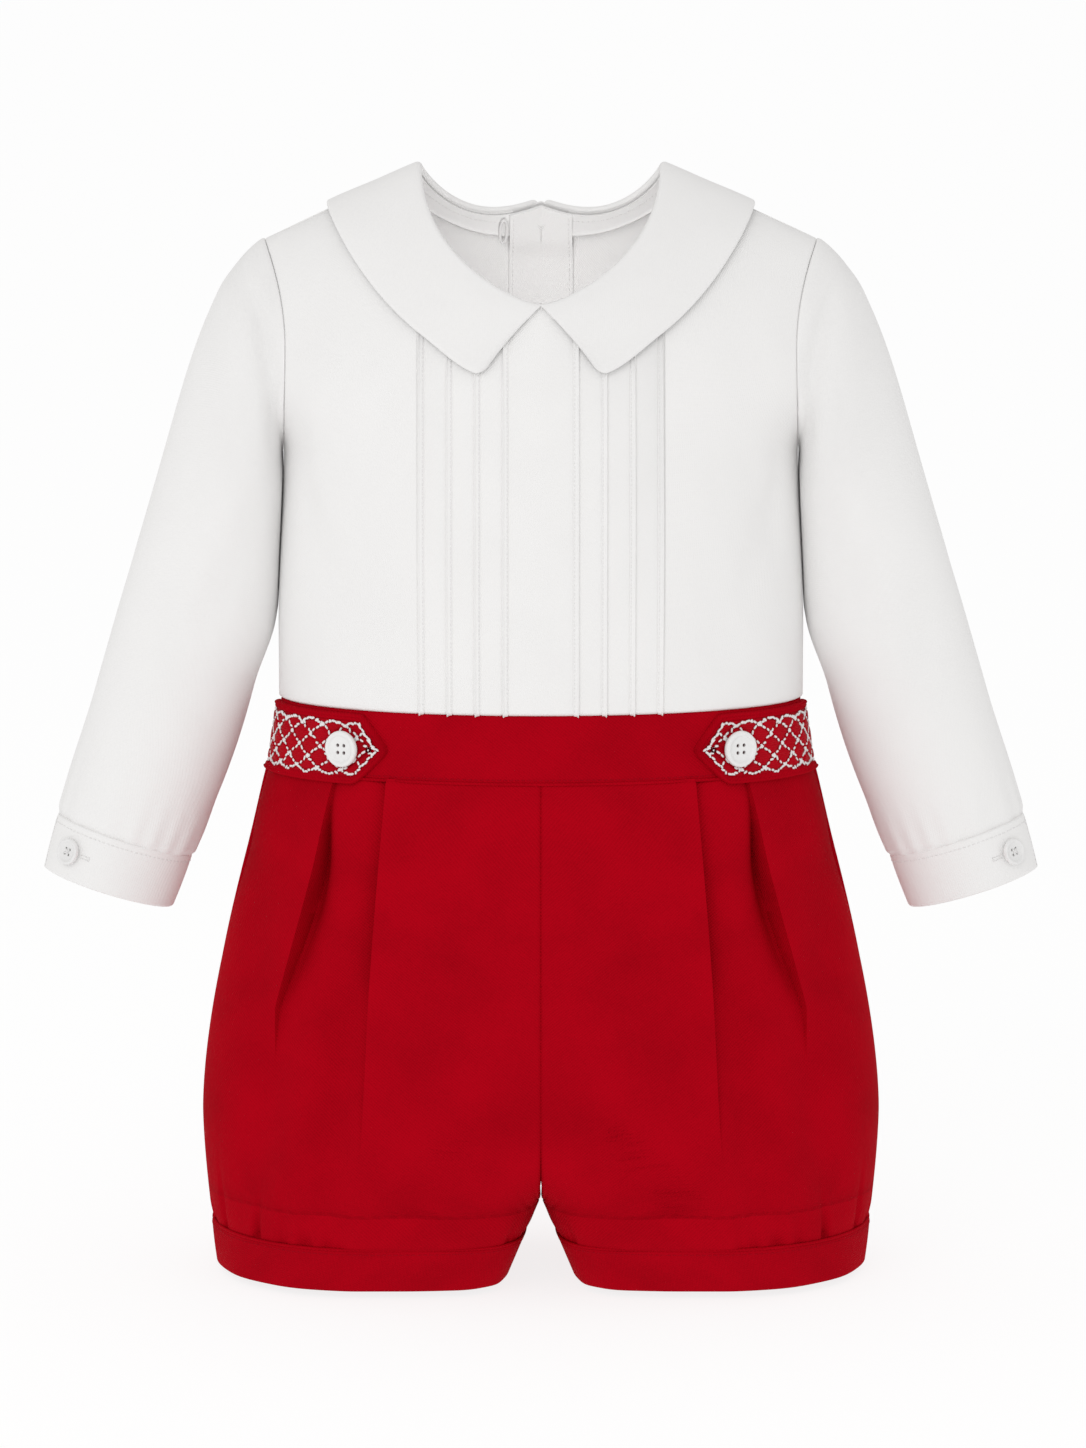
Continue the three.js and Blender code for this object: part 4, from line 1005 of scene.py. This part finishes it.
# Waistband: a straight band of doubled red twill, smooth in front and gathered by elastic at the
# back, with a corded seam and a row of red stitches along its lower edge.
band_depth = 29
waist_half_width = 112
waist_half_depth = 66
red_twill = woven("red_twill", (0.43, 0.0007, 0.008), (0.23, 0.0003, 0.004), 0.0011, 52, 0.0005, 0.02, 0)
red_thread = thread("red_thread", (0.40, 0.0015, 0.01), 0.8, 0.04, 0)


def waist_point(angle, z, lift):
    """A point level with the waistband, lift off its face. Angle 0 is the wearer's left side and a
    quarter turn the centre front. The oval widens by 4.4 mm towards the band's lower edge."""
    flare = 4.4 * (waist_top - z) / band_depth + lift
    return np.stack([(waist_half_width + flare) * np.cos(angle),
                     -(waist_half_depth + flare) * np.sin(angle), z + 0 * angle], -1)


def gathered(angle):
    """Elastic gathers round the back: waves a few mm apart that drift in width, none in front."""
    deep = np.clip(-np.sin(angle), 0, 1)
    return 1.1 * ease(0.12, 0.45, deep) * np.sin(62 * angle + 2.1 * np.sin(7 * angle))


def waist_strip(name, first, last, low, high, inner_lift, outer_lift, finish, gather, roll):
    """A strip of the waist between two angles and heights, its long edges rolled in."""
    angle = np.radians(np.linspace(first, last, 420))[None, :]
    share = np.concatenate([np.linspace(0, 0.08, 7), np.linspace(0.12, 0.88, 16), np.linspace(0.92, 1, 7)])
    z = mix(low, high, share)[:, None]
    near = np.maximum(0.5 * np.clip(1 - (z - low) / roll, 0, 1), np.clip(1 - (high - z) / roll, 0, 1))
    rolled = -(outer_lift - inner_lift) * 0.8 * quarter_round(near)
    wave = gather * gathered(angle) * np.sin(np.pi * np.clip((z - low) / (high - low), 0, 1)) ** 0.5
    outer = waist_point(angle + 0 * z, z + 0 * angle, outer_lift + rolled + wave)
    inner = waist_point(angle + 0 * z, z + 0 * angle, inner_lift + wave + 0 * z)
    return closed_shell(name, outer, inner, finish)


band_low = waist_top - band_depth
band_front = waist_strip("waistband_front_piece", 0.13, 179.87, band_low, waist_top, -1.8, 0.2, red_twill,
                         0, 1.3)
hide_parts("waistband_front")
band_back = waist_strip("waistband_back_piece", 180.13, 359.87, band_low, waist_top, -1.8, 0.2, red_twill,
                        1, 1.3)
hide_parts("waistband_back")
for band in (band_front, band_back):
    fix(band, "shorts")
lining = waist_strip("waistband_lining", -89.9, 269.9, band_low + 0.3, waist_top - 1.3, -4.9, -3.7,
                     red_twill, 0, 0.6)
fix(lining, "shorts", "waistband_facing")

ribbed = woven("ribbed_elastic", (0.78, 0.77, 0.75), (0.6, 0.59, 0.57), 0.0016, 0, 0.0003, 0.1, 0.05)
elastic = waist_strip("elastic_strip", 189, 351, band_low + 4.5, waist_top - 4.5, -3.3, -2.2, ribbed,
                      0.3, 0.5)
fix(elastic, "shorts", "waist_elastic")


def piping(name, path, out, radius, finish, ends_meet=False):
    """A fine cord along a path in mm: a ring of ten points carried along it, its ends closed."""
    along = np.gradient(path, axis=0)
    if ends_meet:
        along = np.roll(path, -1, axis=0) - np.roll(path, 1, axis=0)
    along = unit(along)
    out = unit(out)
    across = np.cross(along, out)
    bend = np.linspace(0, 2 * np.pi, 11)[:, None, None]
    points = path + radius * (np.cos(bend) * out + np.sin(bend) * across)
    return closed_shell(name, points, path + 0 * points, finish, wrap=ends_meet)


seam_angle = np.linspace(0, 2 * np.pi, 640, endpoint=False)
seam_z = np.full(640, band_low + 0.1)
ripple = gathered(seam_angle)
seam_path = waist_point(seam_angle, seam_z, 0.2 + 0.3 * ripple)
seam_out = waist_point(seam_angle, seam_z, 5 + 0 * ripple) - seam_path
waist_seam = piping("waist_seam", seam_path, seam_out, 0.75, red_twill, ends_meet=True)
fix(waist_seam, "shorts")
row_path = waist_point(seam_angle, seam_z + 1.7, 0.15 + 0.6 * ripple)
rows = spaced(row_path, seam_out, 2.5)
row = stitches("waist_stitches", *rows, 1.8, 0.45, 0.28, red_thread)
fix(row, "shorts")
back_angle = np.linspace(np.radians(190), np.radians(350), 400)
for line_name, height in (("high", 19.5), ("low", 10.5)):
    z = band_low + height + 0 * back_angle
    path = waist_point(back_angle, z, 0.15 + gathered(back_angle) * 0.95)
    out = waist_point(back_angle, z, 6 + 0 * z) - waist_point(back_angle, z, 0 * z)
    row = stitches("elastic_stitches_" + line_name, *spaced(path, out, 2.6), 1.9, 0.45, 0.28, red_thread)
    fix(row, "shorts")

# Legs of the shorts: two front panels with two pressed pleats each, let go into soft fullness, and
# two back panels gathered under the waistband. Seams run down the centre and the sides.
seat_height = 68
crotch_height = 36
fork_height = 115
leg_gap = 14.5
leg_band = 20
shorts_thickness = 1.1
panel_round = 230   # length round one leg panel


def toward_waist(z):
    """Share of the way up from the seat to the waistband, curved."""
    return (np.maximum(0, z - seat_height) / (band_low - seat_height)) ** 1.6


def toward_hem(z):
    """Share of the way down from the seat to the hem, curved."""
    return (np.maximum(0, seat_height - z) / seat_height) ** 1.5


def shorts_width(z):
    """Half width of the shorts: full at the seat, drawn in to the waistband and to the hems."""
    return 146.2 - 29.8 * toward_waist(z) - 4.5 * toward_hem(z)


def shorts_depth(z):
    """Half depth of the shorts, drawn in the same way."""
    return 80 - 9.6 * toward_waist(z) - 18 * toward_hem(z)


def inner_bend(z):
    """Power that squares the inner half of a leg's section, from 0.4 low down to a plain oval."""
    return mix(0.4, 1, ease(crotch_height, fork_height + 30, z))


def leg_section(z):
    """Middle, half width and first angle of a leg's section. High up both halves share one oval;
    below the crotch each leg is an oval of its own, its inner half squared."""
    outer = shorts_width(z)
    inner = 0.15 + leg_gap * np.maximum(0, 1 - z / crotch_height)
    t = np.clip((z - crotch_height) / (fork_height - crotch_height), 0, 1)
    meeting = 1 - t * t * (3 - 2 * t) - 0.23 * t * (1 - t) ** 2
    middle = (outer + inner) / 2 * meeting
    half = outer - middle
    start = np.where(z > crotch_height, bent_angle((middle - inner) / half, z), 0)
    return middle, half, start


def bent_angle(share, z):
    """Angle whose bent cosine is share."""
    share = np.clip(share, -1, 1)
    return np.arccos(np.where(share > 0, np.abs(share) ** (1 / inner_bend(z)), share))


def bent_oval(middle, half, deep, angle, z):
    """x and y on the section: its inner half, where the cosine is positive, is squared."""
    power = np.where(np.cos(angle) > 0, inner_bend(z), 1)
    x = middle - half * np.sign(np.cos(angle)) * np.abs(np.cos(angle)) ** power
    return x, deep * np.abs(np.sin(angle)) ** power


def inner_fold_x(z):
    """Distance of the inner pleat's edge from the centre line."""
    return 64.2 + 0.0785 * (band_low - z)


def outer_fold_x(z):
    """Distance of the outer pleat's edge from the centre line, swinging outward as it opens."""
    return 87 + 0.27 * np.minimum(band_low - z, 100) + 0.06 * np.maximum(band_low - z - 100, 0)


def shorts_grid(side, q, z):
    """Points of the left panel. q runs 0 to 1 from the centre or inner edge to the side seam, and
    is bent so that on every row the pleats' edges lie at the same two values of q."""
    middle, half, start = leg_section(z)
    first = (bent_angle((middle - inner_fold_x(z)) / half, z) - start) / (np.pi - start)
    second = (bent_angle((middle - outer_fold_x(z)) / half, z) - start) / (np.pi - start)
    even = np.minimum(q / 0.42, 1) ** (1 / inner_bend(z))
    share = np.where(q < 0.42, even * first, np.where(
        q < 0.6, first + (q - 0.42) / 0.18 * (second - first), second + (q - 0.6) / 0.4 * (1 - second)))
    x, y = bent_oval(middle, half, shorts_depth(z), mix(start, np.pi, share), z)
    return np.stack([x, side * y, z + 0 * q], -1)


def dense(middle, spread):
    """Places close together round a middle, wider apart away from it."""
    t = np.linspace(-1, 1, 31)
    return middle + spread * np.sign(t) * np.abs(t) ** 2.2


low = leg_band - 0.9
q = np.concatenate([0.012 * np.linspace(0, 1, 6) ** 1.5, np.linspace(0.02, 0.36, 40), dense(0.42, 0.05),
                    np.linspace(0.48, 0.53, 6), dense(0.6, 0.06), np.linspace(0.67, 0.985, 42),
                    1 - 0.01 * np.linspace(1, 0, 6) ** 1.5])[None, :]
z = np.concatenate([low + 4 * np.linspace(0, 1, 10) ** 1.4, np.linspace(low + 6, band_low - 3, 118),
                    band_low - 2 * np.linspace(1, 0, 6), [band_low + 0.8]])[:, None]
gather_noise = np.random.default_rng(7)
gather_at = gather_noise.uniform(0, 1, 30)
gather_deep = gather_noise.uniform(0.4, 1.5, 30)
gather_long = gather_noise.uniform(7, 22, 30)


def hem_gathers(share, z):
    """Small gathers let into the leg band: narrow valleys, each dying out some way above it."""
    total = 0 * share * z
    for place, deep, long in zip(gather_at, gather_deep, gather_long):
        total = total - deep * np.exp(-((share - place) / 0.011) ** 2) * np.exp(-((z - leg_band) / long) ** 2)
    return total


for panel_name, side in (("front", front), ("back", back)):
    base = shorts_grid(side, q, z)
    out = normals(base)
    out = out * np.sign(np.sum(out[60, :, 1]) * side)
    base[..., 0] -= 0.15 * (1 - ease(0, 4, base[..., 0])) * ease(crotch_height - 6, crotch_height, z)
    x = base[..., 0]
    level = z + 0 * q
    run = np.gradient(base, axis=1)
    run = run / np.maximum(np.linalg.norm(run, axis=2, keepdims=True), 1e-9)
    down = np.maximum(band_low - level, 0)
    move = 0.9 * np.sin(x / 26 + 0.7 * side) * np.sin(level / 34 + x / 60) * ease(0, 40, down)
    move = move + hem_gathers(q, level) * ease(0, 3, level - low)
    slide = 0 * move
    if side == front:
        # Inner pleat: the centre part lies over the part outside it
        beyond = x - inner_fold_x(level)
        opening = 0.45 + 0.55 * ease(5, 75, down)
        closing = 1 - ease(85, 165, down)
        under = np.exp(-(np.maximum(beyond, 0) / (5 + 0.12 * down)) ** 1.2)
        edge = ease(-0.02, 0.25, beyond)
        move = move - 7.0 * opening * closing * edge * under
        move = move + 1.3 * closing * np.exp(-(np.minimum(beyond, 0) / 5) ** 2) * (1 - edge)
        slide = slide + 1.5 * opening * closing * (1 - edge) * np.exp(-(np.minimum(beyond, 0) / 4) ** 2)
        # Outer pleat: the side part lies over a deep hollow
        before = outer_fold_x(level) - x
        opening = ease(5, 42, down)
        closing = 1 - ease(45, 128, down)
        hollow = 1.5 + 9 * ease(0, 80, down)
        deep = (1.2 + 11 * opening) * closing
        under = np.exp(-(np.maximum(before, 0) / hollow) ** 1.5)
        edge = ease(-0.02, 0.3, before)
        move = move - deep * edge * under
        move = move + 1.0 * closing * np.exp(-(np.minimum(before, 0) / 9) ** 2) * (1 - edge)
        slide = slide - 1.6 * opening * closing * (1 - edge) * np.exp(-(np.minimum(before, 0) / 4) ** 2)
        between = ease(0, 3, beyond) * ease(0, 3, before)
        move = move - 1.0 * between * closing * ease(0, 50, down)
        # Soft folds that fall from the pleats towards the leg bands
        move = move + fold(x, level, [130, 119, 110], [18, 66, 130], 9, 3.2)
        move = move + fold(x, level, [98, 90, 82], [14, 56, 150], 8, 3.6)
        move = move + fold(x, level, [72, 52, 20], [16, 44, 96], 10, 2.3)
        move = move + fold(x, level, [118, 122, 127], [110, 160, 205], 9, 1.3)
    else:
        far = ease(3, 20, x)
        move = move + 1.3 * far * np.sin(q * 92 + 1.8 * np.sin(q * 23)) * np.exp(-(down / 26) ** 1.4)
        move = move + fold(x, level, [70, 60, 48], [30, 90, 200], 9, 1.6)
        move = move + fold(x, level, [104, 96, 84], [40, 110, 205], 8, 1.7)
        move = move + fold(x, level, [30, 34, 24], [60, 120, 190], 8, 1.2)
    in_trunk = ease(crotch_height - 4, crotch_height + 6, level)
    move = move - 0.8 * in_trunk * np.clip(1 - x / 1.5, 0, 1) ** 1.5
    from_side = (1 - q) * panel_round
    move = move - 0.8 * np.clip(1 - from_side / 1.3, 0, 1) ** 2
    move = move - 1.2 * np.clip(1 - (level - low) / 2.4, 0, 1) ** 2 + 0.8 * ease(0, 9, level - low)
    move = move - 0.9 * np.clip(1 - down / 1.6, 0, 1) ** 2
    outer = base + out * move[..., None] + run * slide[..., None]
    outer[..., 0] = np.maximum(outer[..., 0], 0)
    inner = outer - shorts_thickness * out
    inner[..., 0] = np.maximum(inner[..., 0], 0)
    for side_name, side_of in (("left", 1), ("right", -1)):
        flip = np.array([side_of, 1, 1])
        name = "shorts_%s_%s" % (panel_name, side_name)
        leg = closed_shell(panel_name + "_leg_" + side_name, outer * flip, inner * flip, red_twill)
        fix(leg, "shorts", name)

# Leg bands: a doubled strip of the twill round each hem, corded at its seam and topstitched.
def leg_point(angle, z, lift):
    """The left leg's oval at a height, lift off its face. Angle 0 is the outer side."""
    middle, half, start = leg_section(z)
    x, y = bent_oval(middle, half + lift, shorts_depth(z) + lift, np.pi - angle, z)
    return np.stack([x, -y * np.sign(np.sin(angle)), z + 0 * angle], -1)


half_turn = np.concatenate([np.linspace(0, np.pi / 2, 60),
                            np.pi - np.pi / 2 * np.linspace(1, 0, 60)[1:] ** 2])
turn = np.concatenate([half_turn, 2 * np.pi - half_turn[-2:0:-1]])[None, :]
z = np.concatenate([np.linspace(0, 1.4, 6), np.linspace(2, leg_band - 2, 12),
                    leg_band - np.linspace(1.4, 0, 6)])
z = z[:, None]
near = np.clip(1 - np.minimum(z, leg_band - z) / 1.4, 0, 1)
rolled = -1.3 * quarter_round(near)
sag = 0.35 * np.sin(5 * turn + 1) * np.sin(z / 9) + 0.2 * np.sin(13 * turn)
outer = leg_point(turn + 0 * z, z + 0 * turn, 0.3 + rolled + sag)
inner = leg_point(turn + 0 * z, z + 0 * turn, -1.7 + sag)
seam_turn = turn[0]
seam_z = np.full(len(seam_turn), leg_band + 0.1)
cord_path = leg_point(seam_turn, seam_z, -0.1 + 0 * seam_turn)
cord_out = leg_point(seam_turn, seam_z, 4 + 0 * seam_turn) - cord_path
stitch_path = leg_point(seam_turn, seam_z - 2.2, 0.25 + 0.35 * np.sin(5 * seam_turn + 1) * np.sin(17.9 / 9)
                        + 0.2 * np.sin(13 * seam_turn))
stitch_row = spaced(stitch_path, cord_out, 2.5)
for side_name, side_of in (("left", 1), ("right", -1)):
    flip = np.array([side_of, 1, 1])
    band = closed_shell("hem_band_" + side_name, outer * flip, inner * flip, red_twill, wrap=True)
    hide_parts("leg_band_" + side_name)
    cord = piping("hem_cord_" + side_name, cord_path * flip, cord_out * flip, 0.7, red_twill, ends_meet=True)
    middle, along, facing_row = (part * flip for part in stitch_row)
    row = stitches("hem_stitches_" + side_name, middle, along, facing_row, 1.8, 0.42, 0.26, red_thread)
    for piece in (band, cord, row):
        fix(piece, "shorts")

# Side tabs: pointed tabs of padded twill with a corded rim, sewn in at the side seams and buttoned
# to the waistband. White floss is worked over each in a lattice of diamonds filled with red satin.
tab_z = waist_top - band_depth / 2 - 2.0
tab_half = 14.9
tab_tip_x = 64.4
tab_button_x = 81.6
tab_button_radius = 7.8
tab_button_height = 3.1
eyelet_x = 71.5
trace = np.linspace(np.radians(2), np.radians(60), 2000)
trace_path = waist_point(trace, np.full(2000, tab_z), 1.0 + 0 * trace)
trace_length = np.concatenate([[0], np.cumsum(np.linalg.norm(np.diff(trace_path, axis=0), axis=1))])
tip_angle = np.arccos(tab_tip_x / (waist_half_width + 2.2))
tab_length = np.interp(tip_angle, trace, trace_length)
point_length = 13.2


def tab_outline(a):
    """Half height of the tab at a distance a from its tip: a rounded point that widens in a
    straight line and turns softly into the tab's parallel edges."""
    t = np.maximum(a, 0) / point_length
    widening = tab_half * (0.78 * t + 0.22 * t ** 0.4)
    gap = widening - tab_half - 0.02
    return 0.5 * (widening + tab_half + 0.02 - np.sqrt(gap ** 2 + 1.0))


def tab_place(a, b, lift):
    """A point of the left tab: a back from its tip round the waist, b up from its middle line."""
    angle = np.interp(tab_length - a, trace_length, trace)
    return waist_point(angle, tab_z + b, lift + 0.9 * ease(band_low + 2, band_low - 2, tab_z + b))


def tab_surface(rim_depth, columns, rows):
    """Grid of distances a and heights b over the tab's outline less rim_depth all round, and each
    place's distance from the tab's own edge."""
    a = (tab_length * np.concatenate([0.02 * np.linspace(0.05, 1, 8) ** 1.5,
                                      np.linspace(0.03, 1, columns)]))[None, :]
    v = np.sin(np.linspace(-np.pi / 2, np.pi / 2, rows))[:, None]
    slope = (tab_outline(a + 0.05) - tab_outline(a - 0.05)) / 0.1
    half = np.maximum(tab_outline(a) - rim_depth * np.sqrt(1 + slope ** 2), 0.02)
    b = v * half
    edge = (tab_outline(a) - np.abs(b)) / np.sqrt(1 + slope ** 2)
    return a + 0 * b, b, edge


a, b, edge = tab_surface(0, 110, 61)
round_edge = np.clip(1 - edge / 1.3, 0, 1)
height = 3.0 - 2.2 * quarter_round(round_edge)
height = height - 0.55 * np.exp(-((edge - 1.6) / 0.24) ** 2) - 0.5 * ease(1.7, 2.0, edge)
height = height - 0.9 * ease(2.7, 3.3, edge)
outer = tab_place(a, b, height)
inner = tab_place(a, b, 0.35 + 0 * b)
satin_a, satin_b, satin_edge = tab_surface(2.9, 150, 71)


lattice_long = 12.4   # length and half height of a diamond, from the first crossing
lattice_high = 9.6
lattice_first = 7.8


def lattice_phase(a, b):
    """Distances to the two sets of crossing lattice lines, as shares of their spacing."""
    one = (a - lattice_first) / lattice_long + b / lattice_high
    two = (a - lattice_first) / lattice_long - b / lattice_high
    return np.abs(one - np.round(one)), np.abs(two - np.round(two))


def border(a):
    """Half height of the scalloped border: arcs between the crossings, held inside the point."""
    arc = 9.0 + 2.1 * np.abs(np.sin(np.pi * (a - lattice_first) / lattice_long)) ** 0.8
    slope = (tab_outline(a + 0.1) - tab_outline(a - 0.1)) / 0.2
    return np.minimum(arc, tab_outline(a) - 3.9 * np.sqrt(1 + slope ** 2))


near_one, near_two = lattice_phase(satin_a, satin_b)
pad = ease(0.04, 0.2, np.minimum(near_one, near_two)) * ease(0.2, 1.2, border(satin_a) - np.abs(satin_b))
satin_height = 1.7 + 0.8 * pad - 0.5 * np.clip(1 - (satin_edge - 2.9) / 0.5, 0, 1)
satin_outer = tab_place(satin_a, satin_b, satin_height)
satin_inner = tab_place(satin_a, satin_b, 0.9 + 0 * satin_b)
satin = woven("red_satin", (0.46, 0.0008, 0.009), (0.1, 0.0003, 0.002), 0.0009, 90, 0.0004, 0.04, 0, 0.5)

# Floss: dashes along both sets of lattice lines as far as the outer crossings, knots on the
# crossings, and a scalloped border of arcs from crossing to crossing that follows the point
floss_noise = np.random.default_rng(21)
line_parts = []
for slope in (1, -1):
    for k in range(-3, 11):
        t = np.arange(-9.1, 9.2, 1.52)
        line_a = lattice_first + lattice_long * k - slope * t * lattice_long / lattice_high
        line_parts.append(np.stack([line_a, t, 0 * t - slope * lattice_long, 0 * t + lattice_high], -1))
for k in range(-2, 16):
    for step in range(-2, 3):
        row_b = step * lattice_high / 2
        knot_a = lattice_first + lattice_long * (k / 2)
        if (k + step) % 2 == 0:
            turn_by = floss_noise.uniform(0, np.pi, 3)
            shift = floss_noise.normal(0, 0.4, (3, 2))
            line_parts.append(np.stack([knot_a + shift[:, 0], row_b + shift[:, 1],
                                        np.cos(turn_by), np.sin(turn_by)], -1))


rim_a = np.arange(3.9, tab_length - 1, 0.02)
rim_b = border(rim_a)
rim_a = rim_a[rim_b > 0]
rim_b = rim_b[rim_b > 0]
walked = np.concatenate([[0], np.cumsum(np.hypot(np.diff(rim_a), np.diff(rim_b)))])
for sign, first in ((1, 0.3), (-1, 1.1), (1, 1.2)):
    at = np.arange(first, walked[-1], 1.75 if first < 1.15 else 4.1)
    arc_a = np.interp(at, walked, rim_a)
    arc_b = np.interp(at, walked, rim_b)
    lean = (border(arc_a + 0.3) - border(arc_a - 0.3)) / 0.6
    line_parts.append(np.stack([arc_a, sign * arc_b, 1 + 0 * lean, sign * lean], -1))
floss = np.concatenate(line_parts)
inside = border(floss[:, 0]) + 0.5 - np.abs(floss[:, 1])
floss = floss[(inside > 0) & (floss[:, 0] > 3.8) & (floss[:, 0] < tab_length - 1.0)]
floss[:, :2] += floss_noise.normal(0, 0.26, (len(floss), 2))
swing = floss_noise.normal(0, 0.38, len(floss))
floss[:, 2:] /= np.linalg.norm(floss[:, 2:], axis=1, keepdims=True)
floss[:, 2:] = np.stack([floss[:, 2] * np.cos(swing) - floss[:, 3] * np.sin(swing),
                         floss[:, 2] * np.sin(swing) + floss[:, 3] * np.cos(swing)], -1)
floss_length = floss_noise.uniform(1.4, 2.3, len(floss))
floss_lift = 1.9 + 0 * floss[:, 0]
floss_place = tab_place(floss[:, 0], floss[:, 1], floss_lift)
floss_out = tab_place(floss[:, 0], floss[:, 1], 5.0 + 0 * floss[:, 0]) - floss_place
floss_out = unit(floss_out)
floss_along = tab_place(floss[:, 0] + 0.2 * floss[:, 2], floss[:, 1] + 0.2 * floss[:, 3],
                        floss_lift) - floss_place

tab_button_angle = np.arccos(tab_button_x / (waist_half_width + 2.2))
button_seat = waist_point(np.array([tab_button_angle]), np.array([tab_z]), np.array([2.9]))[0]
button_out = waist_point(np.array([tab_button_angle + 0.001]), np.array([tab_z]), np.array([2.9]))[0] - (
    waist_point(np.array([tab_button_angle - 0.001]), np.array([tab_z]), np.array([2.9]))[0])
button_out = np.cross(button_out, [0, 0, 1])
button_out = button_out * np.sign(np.dot(button_out, button_seat * [1, 1, 0]))
eyelet_at = tab_length - np.interp(np.arccos(eyelet_x / (waist_half_width + 2.2)), trace, trace_length)
# Near-black red in its holes is painted shade over the red cloth behind them.
tab_button_white = moulded("tab_button_white", (0.86, 0.855, 0.85), (0.07, 0.004, 0.004))
# A near-black red ring stands for the eyelet's hole: painted shade over the red cloth behind it.
eyelet_hole_shade = thread("eyelet_painted_shade", (0.05, 0.001, 0.003), 0.8, 0.05, 0)
turn = np.linspace(0, 2 * np.pi, 24, endpoint=False)
ring_a = eyelet_at + 0.75 * np.cos(turn)
ring_b = 0.75 * np.sin(turn)
eyelet_ring = tab_place(ring_a, ring_b, 2.3 + 0 * turn)
eyelet_out = tab_place(ring_a, ring_b, 5 + 0 * turn) - eyelet_ring

for side_name, side_of in (("left", 1), ("right", -1)):
    flip = np.array([side_of, 1, 1])
    tab = closed_shell("tab_" + side_name, outer * flip, inner * flip, red_twill)
    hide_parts("side_tab_" + side_name)
    field = closed_shell("tab_satin_" + side_name, satin_outer * flip, satin_inner * flip, satin)
    lattice = stitches("tab_floss_" + side_name, floss_place * flip, floss_along * flip, floss_out * flip,
                       floss_length, 1.15, 0.75, white_thread)
    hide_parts("tab_embroidery_" + side_name)
    eyelet = piping("tab_eyelet_" + side_name, eyelet_ring * flip, eyelet_out * flip, 0.42, eyelet_hole_shade, True)
    disc, legs = button("tab_button_disc_" + side_name, tab_button_radius, tab_button_height,
                        button_seat * flip, button_out * flip,
                        np.array([0, 0, 1.0]), tab_button_white, False)
    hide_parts("tab_button_" + side_name)
    for piece in (tab, field, lattice, eyelet, disc):
        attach(piece, "side_tab_" + side_name)
